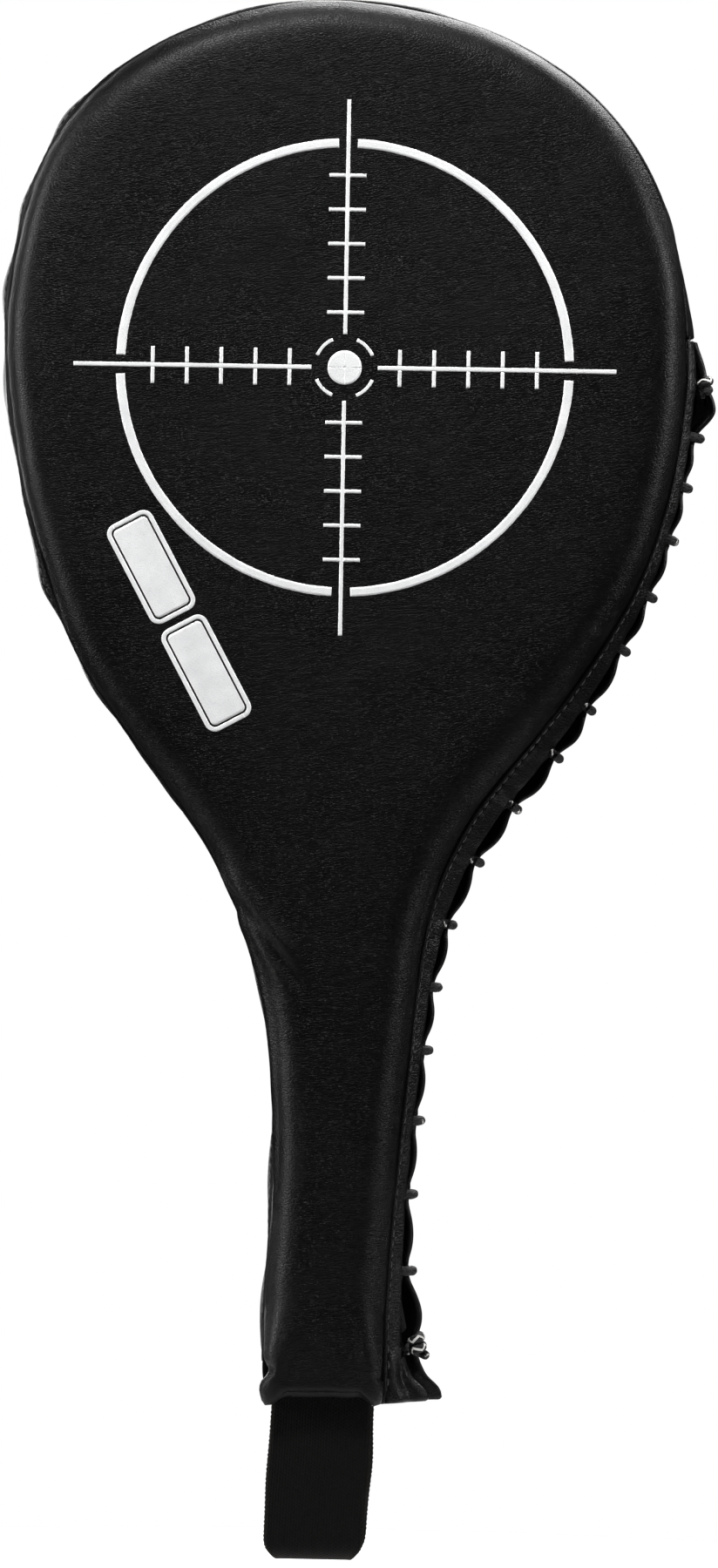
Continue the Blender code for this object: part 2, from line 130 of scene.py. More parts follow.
# How far the free edges of the front and the back flap stand out: (height, front, back)
RIDGE = (
    (262.0, 1.2, 1.6),
    (254.0, 2.6, 5.0),
    (245.0, 2.6, 9.4),
    (239.0, 2.8, 7.2),
    (231.0, 3.2, 4.2),
    (200.0, 3.6, 4.4),
    (165.0, 5.0, 5.8),
    (138.0, 6.0, 7.0),
    (114.0, 7.0, 8.0),
    (92.0, 6.6, 7.4),
    (70.0, 5.0, 5.6),
    (48.0, 4.0, 4.6),
    (20.0, 3.6, 4.4),
    (0.0, 4.2, 5.0),
    (-18.0, 5.2, 6.6),
    (-32.0, 5.4, 9.6),
    (-40.0, 6.2, 9.8),
    (-46.0, 8.0, 11.0),
    (-51.0, 12.0, 13.4),
)
HOLE_Z = (247, 233, 218, 202, 185, 169, 152, 138, 122, 105, 86, 67, 48, 27, 5, -18, -41)
LACE_D = 2.8
LACE_CLEAR = 0.05
LACE_PULL = 1.0  # how far each stitch draws the free edges in

WEB_W = 30.0
WEB_T = 1.8
LOOP_Y = 9.7
LOOP_ROOT_Z = -59.2
LOOP_BEND_Z = -94.3
LOOP_X = -1.1
LOOP_LEAN = 0.045
LOOP_CORNER = 3.4
ANCHOR_TOP_Z = -48.8

PLATE_T = 3.0
FOAM_EDGE = 1.6
FOAM_LACED = 5.8
FOAM_END_Z = -48.0


# ------------------------------------------------------------------ outline
def periodic_spline(points, samples):
    """Smooth closed curve through the points, as evenly timed samples."""
    pts = np.array(points, float)
    n = len(pts)
    step = np.sqrt(np.linalg.norm(np.roll(pts, -1, 0) - pts, axis=1))
    step = step**1.4
    knots = np.concatenate([[0], np.cumsum(step)])
    matrix = np.zeros((n, n))
    right = np.zeros((n, 2))
    for i in range(n):
        before, after = step[i - 1], step[i]
        matrix[i, i - 1] += before
        matrix[i, i] += 2 * (before + after)
        matrix[i, (i + 1) % n] += after
        right[i] = 6 * (
            (pts[(i + 1) % n] - pts[i]) / after - (pts[i] - pts[i - 1]) / before
        )
    bend = np.linalg.solve(matrix, right)
    t = np.linspace(0, knots[-1], samples, endpoint=False)
    i = np.clip(np.searchsorted(knots, t, side="right") - 1, 0, n - 1)
    j = (i + 1) % n
    h = step[i][:, None]
    a = (knots[i + 1] - t)[:, None]
    b = (t - knots[i])[:, None]
    return (
        bend[i] * a**3 / (6 * h)
        + bend[j] * b**3 / (6 * h)
        + (pts[i] / h - bend[i] * h / 6) * a
        + (pts[j] / h - bend[j] * h / 6) * b
    )


DENSE = periodic_spline(OUTLINE, 4000)
DENSE_S = np.concatenate(
    [[0], np.cumsum(np.linalg.norm(np.roll(DENSE, -1, 0) - DENSE, axis=1))]
)
LENGTH = DENSE_S[-1]
LOOP_DENSE = np.vstack([DENSE, DENSE[:1]])
TOP_S = float(DENSE_S[int(np.argmax(DENSE[:, 1]))])


def place(q):
    q = np.asarray(q, float) % LENGTH
    return np.stack(
        [
            np.interp(q, DENSE_S, LOOP_DENSE[:, 0]),
            np.interp(q, DENSE_S, LOOP_DENSE[:, 1]),
        ],
        -1,
    )


def at(s):
    """Point, and outward direction, of the outline at a distance along it."""
    s = np.asarray(s, float)
    ahead = place(s + 1.5) - place(s - 1.5)
    ahead /= np.linalg.norm(ahead, axis=-1, keepdims=True)
    return place(s), np.stack([-ahead[..., 1], ahead[..., 0]], -1)


def where(z, side):
    """Distance along the outline of the height z on the left (-1) or right (+1)."""
    index = np.arange(len(DENSE))
    top = int(np.argmax(DENSE[:, 1]))
    use = index[(index > 40) & (index < top)] if side < 0 else index[top:-40]
    order = use[np.argsort(DENSE[use, 1])]
    return float(np.interp(z, DENSE[order, 1], DENSE_S[order]))


def stations(start, end, spacing):
    """Distances from start to end, whose spacing follows a function of height."""
    fine = np.linspace(start, end, 3000)
    z = at(fine)[0][:, 1]
    weight = 1.0 / np.array([spacing(v) for v in z])
    total = np.concatenate(
        [[0], np.cumsum((weight[1:] + weight[:-1]) / 2 * np.diff(fine))]
    )
    count = max(2, int(round(total[-1])))
    return np.interp(np.linspace(0, total[-1], count + 1), total, fine)


def smooth_step(x, low, high):
    t = np.clip((np.asarray(x, float) - low) / (high - low), 0, 1)
    return t * t * (3 - 2 * t)


def bump(x, width):
    return np.exp(-((np.asarray(x, float) / width) ** 2))


def ridge_at(z, side):
    """How far a flap's free edge stands out at an outline height."""
    heights = np.array([r[0] for r in RIDGE][::-1], float)
    values = np.array([r[1 if side < 0 else 2] for r in RIDGE][::-1], float)
    around = np.asarray(z, float)[..., None] + np.linspace(-4, 4, 9)
    return np.interp(around, heights, values).mean(-1)


def roll_at(z):
    """Radius of the rolled edge, smaller at the end of the handle."""
    return ROLL_END + (ROLL - ROLL_END) * smooth_step(z, -48.0, -26.0)


def in_section(s, n, y):
    """Points from distances out of the outline and depths."""
    point, out = at(s)
    n = np.asarray(n, float)
    x = point[..., 0] + out[..., 0] * n
    z = point[..., 1] + out[..., 1] * n
    return np.stack([x, np.broadcast_to(np.asarray(y, float), x.shape), z], -1)


# ------------------------------------------------------------------ meshes
def shade(mesh, sharp):
    mesh.shade_smooth()
    if sharp is not None:
        mesh.set_sharp_from_angle(angle=math.radians(sharp))


def make(name, verts, faces, mat, body="paddle", node=(), sharp=None, uv=None):
    """A piece from points in millimetres and faces, on a body and with its material."""
    mesh = bpy.data.meshes.new(name)
    mesh.from_pydata((np.asarray(verts, float) * MM).tolist(), [], faces)
    bm = bmesh.new()
    bm.from_mesh(mesh)
    bmesh.ops.recalc_face_normals(bm, faces=bm.faces)
    if bm.calc_volume(signed=True) < 0:
        bmesh.ops.reverse_faces(bm, faces=bm.faces)
    bm.to_mesh(mesh)
    bm.free()
    if uv is not None:
        layer = mesh.uv_layers.new(name="UVMap")
        index = np.zeros(len(mesh.loops), int)
        mesh.loops.foreach_get("vertex_index", index)
        layer.data.foreach_set("uv", np.asarray(uv, np.float32)[index].ravel())
    shade(mesh, sharp)
    obj = bpy.data.objects.new(name, mesh)
    mesh.materials.append(mat)
    bpy.context.scene.collection.objects.link(obj)
    if body:
        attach(obj, body)
    if node:
        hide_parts(*node)
    return obj


def skin(rings, ring_closed=True, cap=True, offset=0):
    """Quads between equal rings of points, and end caps."""
    rows, count = len(rings), len(rings[0])
    faces = []
    for r in range(rows - 1):
        low, high = offset + r * count, offset + (r + 1) * count
        for i in range(count if ring_closed else count - 1):
            j = (i + 1) % count
            faces.append((low + i, low + j, high + j, high + i))
    if cap:
        faces.append(tuple(offset + i for i in range(count)))
        last = offset + (rows - 1) * count
        faces.append(tuple(last + i for i in range(count))[::-1])
    return faces


def catmull(points, per_span):
    """Catmull-Rom curve through points, with a number of samples for each span."""
    p = np.array(points, float)
    p = np.concatenate([[2 * p[0] - p[1]], p, [2 * p[-1] - p[-2]]])
    spans = len(p) - 3
    counts = [per_span] * spans if np.isscalar(per_span) else per_span
    out = []
    for i in range(spans):
        a, b, c, d = p[i : i + 4]
        for k in range(counts[i]):
            t = k / counts[i]
            out.append(
                0.5
                * (
                    2 * b
                    + (c - a) * t
                    + (2 * a - 5 * b + 4 * c - d) * t * t
                    + (3 * b - a - 3 * c + d) * t**3
                )
            )
    out.append(p[-2])
    return np.array(out)


def evenly(path, step):
    """The path's points, spaced evenly along it."""
    run = np.concatenate([[0], np.cumsum(np.linalg.norm(np.diff(path, axis=0), axis=1))])
    count = max(4, int(round(run[-1] / step)))
    want = np.linspace(0, run[-1], count + 1)
    return np.stack([np.interp(want, run, path[:, k]) for k in range(3)], -1), want


# ---------------------------------------------------------------- materials
def material(name):
    mat = bpy.data.materials.new(name)
    mat.use_nodes = True
    tree = mat.node_tree
    return mat, tree, tree.nodes["Principled BSDF"]


def node(tree, kind, **values):
    made = tree.nodes.new(kind)
    for key, value in values.items():
        if key in made.inputs:
            made.inputs[key].default_value = value
        else:
            setattr(made, key, value)
    return made


def math_node(tree, operation, a, b=None, c=None, clamp=False):
    made = tree.nodes.new("ShaderNodeMath")
    made.operation = operation
    made.use_clamp = clamp
    for slot, value in enumerate((a, b, c)):
        if value is None:
            continue
        if isinstance(value, (int, float)):
            made.inputs[slot].default_value = value
        else:
            tree.links.new(value, made.inputs[slot])
    return made.outputs[0]


def ramp(tree, source, low, high, start=0.0, end=1.0):
    """A number moved from one range to another, and held inside it."""
    made = tree.nodes.new("ShaderNodeMapRange")
    made.clamp = True
    for key, value in (
        ("From Min", low),
        ("From Max", high),
        ("To Min", start),
        ("To Max", end),
    ):
        made.inputs[key].default_value = value
    tree.links.new(source, made.inputs["Value"])
    return made.outputs["Result"]


def mix_colour(tree, factor, a, b):
    made = tree.nodes.new("ShaderNodeMix")
    made.data_type = "RGBA"
    for slot, value in ((0, factor), (6, a), (7, b)):
        if isinstance(value, (int, float)):
            made.inputs[slot].default_value = value
        elif isinstance(value, tuple):
            made.inputs[slot].default_value = (*value, 1.0)
        else:
            tree.links.new(value, made.inputs[slot])
    return made.outputs[2]


def coordinates(tree, scale=(1, 1, 1), kind="Object", turn=0.0):
    source = tree.nodes.new("ShaderNodeTexCoord")
    mapping = tree.nodes.new("ShaderNodeMapping")
    mapping.inputs["Scale"].default_value = scale
    mapping.inputs["Rotation"].default_value = (0, turn, 0)
    tree.links.new(source.outputs[kind], mapping.inputs["Vector"])
    return mapping.outputs["Vector"]


def noise(tree, vector, scale, detail=2.0, rough=0.5, distortion=0.0):
    made = node(
        tree,
        "ShaderNodeTexNoise",
        Scale=scale,
        Detail=detail,
        Roughness=rough,
        Distortion=distortion,
    )
    tree.links.new(vector, made.inputs["Vector"])
    return made


def bump_node(tree, height, distance, strength=1.0, normal=None):
    made = node(tree, "ShaderNodeBump", Strength=strength, Distance=distance)
    tree.links.new(height, made.inputs["Height"])
    if normal is not None:
        tree.links.new(normal, made.inputs["Normal"])
    return made.outputs["Normal"]


def leather(name, colour, rough, grain=(1.0, 1.0, 2.1), pitch=1.1, depth=0.058, shine_level=0.16):
    """Artificial leather: pebbled grain, fine creases, dull and shiny patches, and paler rubbed
    places where the surface stands proud, with painted shade in the grain's crevices and along
    the seam grooves."""
    mat, tree, shader = material(name)
    grid = coordinates(tree, tuple(g * 1000.0 / pitch for g in grain))
    plain = coordinates(tree)
    warp = noise(tree, grid, 0.55, 2.0, 0.6)
    shift = tree.nodes.new("ShaderNodeVectorMath")
    shift.operation = "MULTIPLY_ADD"
    tree.links.new(warp.outputs["Color"], shift.inputs[0])
    shift.inputs[1].default_value = (1.1, 1.1, 1.1)
    tree.links.new(grid, shift.inputs[2])
    cells = node(tree, "ShaderNodeTexVoronoi", feature="DISTANCE_TO_EDGE", Scale=1.0)
    tree.links.new(shift.outputs[0], cells.inputs["Vector"])
    crease = ramp(tree, cells.outputs["Distance"], 0.0, 0.16)
    pebble = node(tree, "ShaderNodeTexVoronoi", feature="SMOOTH_F1", Scale=1.0)
    pebble.inputs["Smoothness"].default_value = 0.6
    tree.links.new(shift.outputs[0], pebble.inputs["Vector"])
    tops = math_node(tree, "MULTIPLY", pebble.outputs["Distance"], -0.55)
    fine = noise(tree, grid, 3.4, 3.0, 0.6)
    height = math_node(tree, "MULTIPLY_ADD", crease, 0.7, tops)
    height = math_node(tree, "MULTIPLY_ADD", fine.outputs["Fac"], 0.35, height)
    soft = noise(tree, plain, 46.0, 2.0, 0.5)
    normal = bump_node(tree, soft.outputs["Fac"], 0.0006, 0.55)
    normal = bump_node(tree, height, depth * MM, 0.9, normal)
    tree.links.new(normal, shader.inputs["Normal"])

    patches = noise(tree, plain, 21.0, 3.0, 0.55)
    tone = ramp(tree, patches.outputs["Fac"], 0.3, 0.7)
    dark = tuple(c * 0.78 for c in colour)
    light = tuple(c * 1.3 for c in colour)
    base = mix_colour(tree, tone, dark, light)
    # painted shade: the grain's crevices are darkened to a third of the leather's colour
    base = mix_colour(
        tree, ramp(tree, crease, 0.0, 0.5, 0.55, 0.0), base, tuple(c * 0.35 for c in colour)
    )
    wear = node(tree, "ShaderNodeAttribute", attribute_name="wear")
    scuff = noise(tree, plain, 240.0, 4.0, 0.65)
    rubbed = math_node(
        tree,
        "MULTIPLY",
        wear.outputs["Fac"],
        ramp(tree, scuff.outputs["Fac"], 0.46, 0.7, 0.15, 1.0),
        clamp=True,
    )
    base = mix_colour(
        tree, math_node(tree, "MULTIPLY", rubbed, 0.55), base, (0.02, 0.0192, 0.0185)
    )
    # painted shade: where the "groove" attribute is set, along the seams and stitch lines, the
    # colour goes almost black and the reflection is turned down
    groove = node(tree, "ShaderNodeAttribute", attribute_name="groove")
    base = mix_colour(tree, groove.outputs["Fac"], base, (0.0004, 0.0004, 0.0004))
    tree.links.new(base, shader.inputs["Base Color"])
    gloss = math_node(
        tree, "MULTIPLY_ADD", groove.outputs["Fac"], -shine_level, shine_level, clamp=True
    )
    tree.links.new(gloss, shader.inputs["Specular IOR Level"])
    shine = noise(tree, plain, 70.0, 3.0, 0.6)
    level = ramp(tree, shine.outputs["Fac"], 0.25, 0.75, rough - 0.05, rough + 0.06)
    level = math_node(tree, "MULTIPLY_ADD", rubbed, 0.1, level)
    level = math_node(
        tree, "ADD", level, ramp(tree, crease, 0.0, 0.6, 0.06, 0.0), clamp=True
    )
    tree.links.new(level, shader.inputs["Roughness"])
    return mat


def webbing_material(name):
    """Matt black woven elastic: rounded warp ribs, a finer weft across them, and a
    soft fuzz."""
    mat, tree, shader = material(name)
    flat = coordinates(tree, kind="UV")
    split = tree.nodes.new("ShaderNodeSeparateXYZ")
    tree.links.new(flat, split.inputs[0])
    wobble = noise(tree, flat, 260.0, 2.0, 0.6)
    off = math_node(tree, "MULTIPLY_ADD", wobble.outputs["Fac"], 0.00035, -0.000175)
    u = math_node(tree, "ADD", split.outputs[0], off)
    v = math_node(tree, "ADD", split.outputs[1], off)
    row = math_node(tree, "MULTIPLY", v, 2 * math.pi / 0.00105)
    column = math_node(tree, "MULTIPLY", u, math.pi / 0.00082)
    # Each rib rises between two weft yarns, and its neighbour half a step later.
    rib = math_node(tree, "ABSOLUTE", math_node(tree, "SINE", column))
    phase = math_node(
        tree, "MULTIPLY", math_node(tree, "SIGN", math_node(tree, "SINE", column)), 1.5708
    )
    weft = math_node(tree, "SINE", math_node(tree, "ADD", row, phase))
    height = math_node(tree, "MULTIPLY_ADD", weft, 0.42, rib)
    fuzz = noise(tree, flat, 2400.0, 3.0, 0.7)
    height = math_node(tree, "MULTIPLY_ADD", fuzz.outputs["Fac"], 0.7, height)
    normal = bump_node(tree, height, 0.00016, 0.8)
    tree.links.new(normal, shader.inputs["Normal"])
    shadow = ramp(tree, height, 0.1, 1.5)
    colour = mix_colour(tree, shadow, (0.001, 0.00095, 0.0009), (0.0042, 0.0039, 0.0036))
    lint = ramp(tree, noise(tree, flat, 900.0, 4.0, 0.75).outputs["Fac"], 0.66, 0.8)
    colour = mix_colour(
        tree, math_node(tree, "MULTIPLY", lint, 0.35), colour, (0.022, 0.019, 0.0175)
    )
    # painted highlight: the "wear" attribute makes the webbing brownish-pale on the bottom of the
    # bend, where light falls, and marks real wear along the selvedges
    edge = node(tree, "ShaderNodeAttribute", attribute_name="wear")
    colour = mix_colour(
        tree,
        math_node(tree, "MULTIPLY", edge.outputs["Fac"], 0.7),
        colour,
        (0.018, 0.0145, 0.012),
    )
    tree.links.new(colour, shader.inputs["Base Color"])
    shader.inputs["Roughness"].default_value = 0.9
    shader.inputs["Specular IOR Level"].default_value = 0.12
    shader.inputs["Sheen Weight"].default_value = 0.015
    shader.inputs["Sheen Roughness"].default_value = 0.5
    return mat


def cord_material(name, around=8, pitch=2.0):
    """Braided polyester cord: slanting yarns with painted shade in the gaps between them, and a
    white tracer that zigzags along one side. u is the turn round the cord, v the length in
    metres."""
    mat, tree, shader = material(name)
    flat = coordinates(tree, kind="UV")
    split = tree.nodes.new("ShaderNodeSeparateXYZ")
    tree.links.new(flat, split.inputs[0])
    u, v = split.outputs[0], split.outputs[1]
    turn = math_node(tree, "MULTIPLY", u, 2 * math.pi * around)
    along = math_node(tree, "MULTIPLY", v, 2 * math.pi / (pitch * MM))
    one = math_node(tree, "SINE", math_node(tree, "ADD", turn, along))
    two = math_node(tree, "SINE", math_node(tree, "SUBTRACT", turn, along))
    height = math_node(tree, "MAXIMUM", one, two)
    strands = noise(tree, flat, 1.0, 2.0)
    stretch = coordinates(tree, (60.0, 4200.0, 1.0), "UV")
    tree.links.new(stretch, strands.inputs["Vector"])
    height = math_node(tree, "MULTIPLY_ADD", strands.outputs["Fac"], 0.5, height)
    normal = bump_node(tree, height, 0.00012, 0.7)
    tree.links.new(normal, shader.inputs["Normal"])
    # painted shade: darker in the low gaps between the yarns
    colour = mix_colour(
        tree, ramp(tree, height, 0.0, 1.3), (0.0015, 0.0015, 0.0016), (0.012, 0.012, 0.013)
    )
    # The tracer swings to and fro about its line, and the line drifts round the cord.
    swing = math_node(tree, "PINGPONG", math_node(tree, "MULTIPLY", v, 1000.0), 1.05)
    swing = math_node(tree, "MULTIPLY_ADD", swing, 0.17, -0.09)
    line = node(tree, "ShaderNodeAttribute", attribute_name="tracer")
    gap = math_node(tree, "SUBTRACT", u, line.outputs["Fac"])
    gap = math_node(tree, "SUBTRACT", gap, swing)
    gap = math_node(tree, "SUBTRACT", gap, math_node(tree, "ROUND", gap))
    near = ramp(tree, math_node(tree, "ABSOLUTE", gap), 0.04, 0.055, 1.0, 0.0)
    colour = mix_colour(tree, near, colour, (0.72, 0.71, 0.69))
    tree.links.new(colour, shader.inputs["Base Color"])
    shader.inputs["Roughness"].default_value = 0.7
    shader.inputs["Specular IOR Level"].default_value = 0.35
    return mat


def thread_material(name):
    mat, tree, shader = material(name)
    grid = coordinates(tree, (1900.0, 1900.0, 1900.0), turn=0.6)
    wave = node(tree, "ShaderNodeTexWave", Scale=0.9, Distortion=1.5)
    tree.links.new(grid, wave.inputs["Vector"])
    tree.links.new(bump_node(tree, wave.outputs["Fac"], 0.00006), shader.inputs["Normal"])
    tone = ramp(tree, noise(tree, grid, 0.06, 2.0).outputs["Fac"], 0.35, 0.65)
    colour = mix_colour(tree, tone, (0.012, 0.012, 0.012), (0.045, 0.045, 0.045))
    tree.links.new(colour, shader.inputs["Base Color"])
    shader.inputs["Roughness"].default_value = 0.34
    return mat


def print_material(name):
    """Screen print on grained leather: white, with pin holes and the grain below."""
    mat, tree, shader = material(name)
    plain = coordinates(tree)
    grid = coordinates(tree, (1050.0, 1050.0, 1790.0))
    cells = node(tree, "ShaderNodeTexVoronoi", feature="DISTANCE_TO_EDGE", Scale=1.0)
    tree.links.new(grid, cells.inputs["Vector"])
    crease = ramp(tree, cells.outputs["Distance"], 0.0, 0.12)
    normal = bump_node(tree, crease, 0.00003, 0.8)
    tree.links.new(normal, shader.inputs["Normal"])
    thin = noise(tree, plain, 2600.0, 2.0, 0.6)
    hole = ramp(tree, thin.outputs["Fac"], 0.71, 0.77)
    tone = ramp(tree, noise(tree, plain, 160.0, 3.0).outputs["Fac"], 0.3, 0.7)
    white = mix_colour(tree, tone, (0.78, 0.785, 0.79), (0.88, 0.885, 0.89))
    # painted shade: the white goes greyer in the grain's crevices
    white = mix_colour(
        tree, ramp(tree, crease, 0.0, 0.6, 0.22, 0.0), white, (0.45, 0.455, 0.46)
    )
    colour = mix_colour(tree, hole, white, (0.1, 0.1, 0.1))
    tree.links.new(colour, shader.inputs["Base Color"])
    shader.inputs["Roughness"].default_value = 0.5
    return mat


def foam_material(name):
    mat, tree, shader = material(name)
    plain = coordinates(tree)
    cells = node(tree, "ShaderNodeTexVoronoi", Scale=1400.0)
    tree.links.new(plain, cells.inputs["Vector"])
    tone = ramp(tree, noise(tree, plain, 60.0, 3.0).outputs["Fac"], 0.3, 0.7)
    colour = mix_colour(tree, tone, (0.036, 0.036, 0.038), (0.052, 0.052, 0.056))
    # painted shade in the pits of the foam
    pore = ramp(tree, cells.outputs["Distance"], 0.0, 0.5, 0.5, 0.0)
    colour = mix_colour(tree, pore, colour, (0.018, 0.018, 0.02))
    tree.links.new(colour, shader.inputs["Base Color"])
    tree.links.new(
        bump_node(tree, cells.outputs["Distance"], 0.0002, 0.6), shader.inputs["Normal"]
    )
    shader.inputs["Roughness"].default_value = 0.92
    return mat


def plate_material(name):
    mat, tree, shader = material(name)
    plain = coordinates(tree)
    fine = noise(tree, coordinates(tree, (1, 1, 0.08)), 900.0, 3.0)
    tone = ramp(tree, noise(tree, plain, 35.0, 2.0).outputs["Fac"], 0.3, 0.7)
    colour = mix_colour(tree, tone, (0.55, 0.55, 0.53), (0.64, 0.64, 0.61))
    tree.links.new(colour, shader.inputs["Base Color"])
    tree.links.new(bump_node(tree, fine.outputs["Fac"], 0.00006), shader.inputs["Normal"])
    tree.links.new(
        ramp(tree, fine.outputs["Fac"], 0.3, 0.7, 0.4, 0.58), shader.inputs["Roughness"]
    )
    return mat


FACE_LEATHER = leather("face_leather", (0.0018, 0.0017, 0.0018), 0.32)
SIDE_LEATHER = leather(
    "side_leather", (0.0026, 0.0025, 0.0026), 0.36, (1.0, 1.0, 1.3), 1.05, 0.06, 0.13
)
FLAP_LEATHER = leather(
    "flap_leather", (0.003, 0.0028, 0.0028), 0.33, (1.0, 1.0, 1.3), 1.0, 0.055, 0.22
)
WEBBING = webbing_material("webbing")
CORD = cord_material("lace")
THREAD = thread_material("thread")
PRINT = print_material("print")
FOAM = foam_material("foam")
PLATE = plate_material("plate")


def set_point_layer(obj, values, name="wear"):
    layer = obj.data.attributes.new(name, "FLOAT", "POINT")
    layer.data.foreach_set("value", np.asarray(values, np.float32))


# ---------------------------------------------------------- faces of the cover
def fold_height(x, z, folds):
    """Height of soft folds: each is (x0, z0, x1, z1, width, height)."""
    total = np.zeros_like(x)
    for x0, z0, x1, z1, width, height in folds:
        run = np.array([x1 - x0, z1 - z0])
        size = np.hypot(*run)
        run = run / size
        along = (x - x0) * run[0] + (z - z0) * run[1]
        across = (x - x0) * -run[1] + (z - z0) * run[0]
        fade = smooth_step(along, -0.25 * size, 0.18 * size) * smooth_step(
            -along, -1.2 * size, -0.6 * size
        )
        q = across / width
        total += height * fade * np.exp(-(q**2)) * (1 - 0.5 * q**2)
    return total


def wander(x, z, seed):
    """Slow unevenness of a stretched cover, about -1 to 1."""
    total = np.zeros_like(x)
    for k, (fx, fz) in enumerate(
        ((0.021, 0.013), (-0.017, 0.027), (0.035, -0.022), (0.052, 0.041), (-0.047, 0.063))
    ):
        total += np.sin(fx * x * 2 + fz * z * 2 + 1.7 * k + seed) / (1 + 0.5 * k)
    return total / 2.4


FRONT_FOLDS = (
    # two soft diagonal folds where the left side turns into the handle
    (-31.0, 99.0, -9.0, 72.0, 3.1, 1.5),
    (-29.0, 92.5, -9.5, 67.0, 2.5, -1.2),
    (-26.5, 87.5, -12.0, 64.5, 2.6, 1.25),
    (-17.5, 84.0, -8.5, 75.0, 2.2, 0.3),
    # shallow drag lines beside the grip
    (-16.0, 44.0, -9.0, 8.0, 3.4, 0.18),
    (17.5, 60.0, 12.5, 26.0, 3.2, 0.2),
    # creases that run up from the two lower corners
    (-15.2, -50.5, -9.5, -34.0, 2.6, 0.4),
    (-11.5, -50.0, -6.0, -38.0, 2.4, -0.3),
    (13.6, -50.0, 10.5, -30.0, 2.6, 0.3),
)
BACK_FOLDS = (
    (-32.0, 104.0, -10.0, 76.0, 4.2, 0.8),
    (-26.0, 90.0, -13.0, 70.0, 2.8, -0.6),
    (30.0, 101.0, 11.0, 78.0, 3.8, 0.75),
    (26.0, 88.0, 13.5, 70.5, 2.7, -0.55),
    (-13.8, -50.0, -10.5, -34.0, 2.6, 0.35),
    (12.5, -50.0, 9.0, -32.0, 2.5, 0.35),
    (-88.0, 292.0, -66.0, 272.0, 6.0, 0.25),
)


def edge_shift(s, z, side):
    """How far the rolled edge stands out of the plain outline, in millimetres."""
    point = at(s)[0]
    x = point[..., 0]
    left = x < 0
    wave = 0.16 * np.sin(s / 7.9 + 0.6) + 0.14 * np.sin(s / 12.7 + 2.1 + side)
    shift = wave * smooth_step(z, -40, 40)
    depth = 2.1 if side < 0 else 1.3
    # pinched above the lower left corner, and full at both lower corners
    shift -= depth * bump(z + 47.6, 2.7) * left
    shift += 0.9 * bump(z + 52.6, 2.6) * left
    shift += 3.5 * bump(x + 15.4, 2.4) * (z < -50)
    shift += 3.3 * bump(x - 14.2, 2.2) * (z < -50)
    shift -= 1.9 * (1 - smooth_step(np.abs(x + 0.9), 13.0, 15.4)) * (z < -53)
    return shift


def face_spacing(z):
    return 1.15 if z < -40 else (1.9 if z < 125 else 2.5)


ROLL_TURNS = np.radians(np.linspace(0, 90, 11))
INTERIOR = 22


def pair_stations():
    left = stations(0, TOP_S, face_spacing)
    right = LENGTH - left * (LENGTH - TOP_S) / TOP_S
    return left, right


def spine(z):
    """The line that the rows of a face run in to."""
    z = np.asarray(z, float)
    t = np.clip((z - 180) / 181.5, 0, 1)
    high = np.where(z > 180, 180 + 84 * (1 - (1 - t) ** 2), z)
    low = np.where(z < 0, z + z * z * 19 / 57.0**2, high)
    heights = np.linspace(-46, 330, 120)
    middle = [
        (float(place(where(h, -1))[0]) + float(place(where(h, 1))[0])) / 2 for h in heights
    ]
    middle = np.convolve(np.pad(middle, 6, "edge"), np.ones(13) / 13, "valid")
    return np.stack([np.interp(low, heights, middle), low], -1)


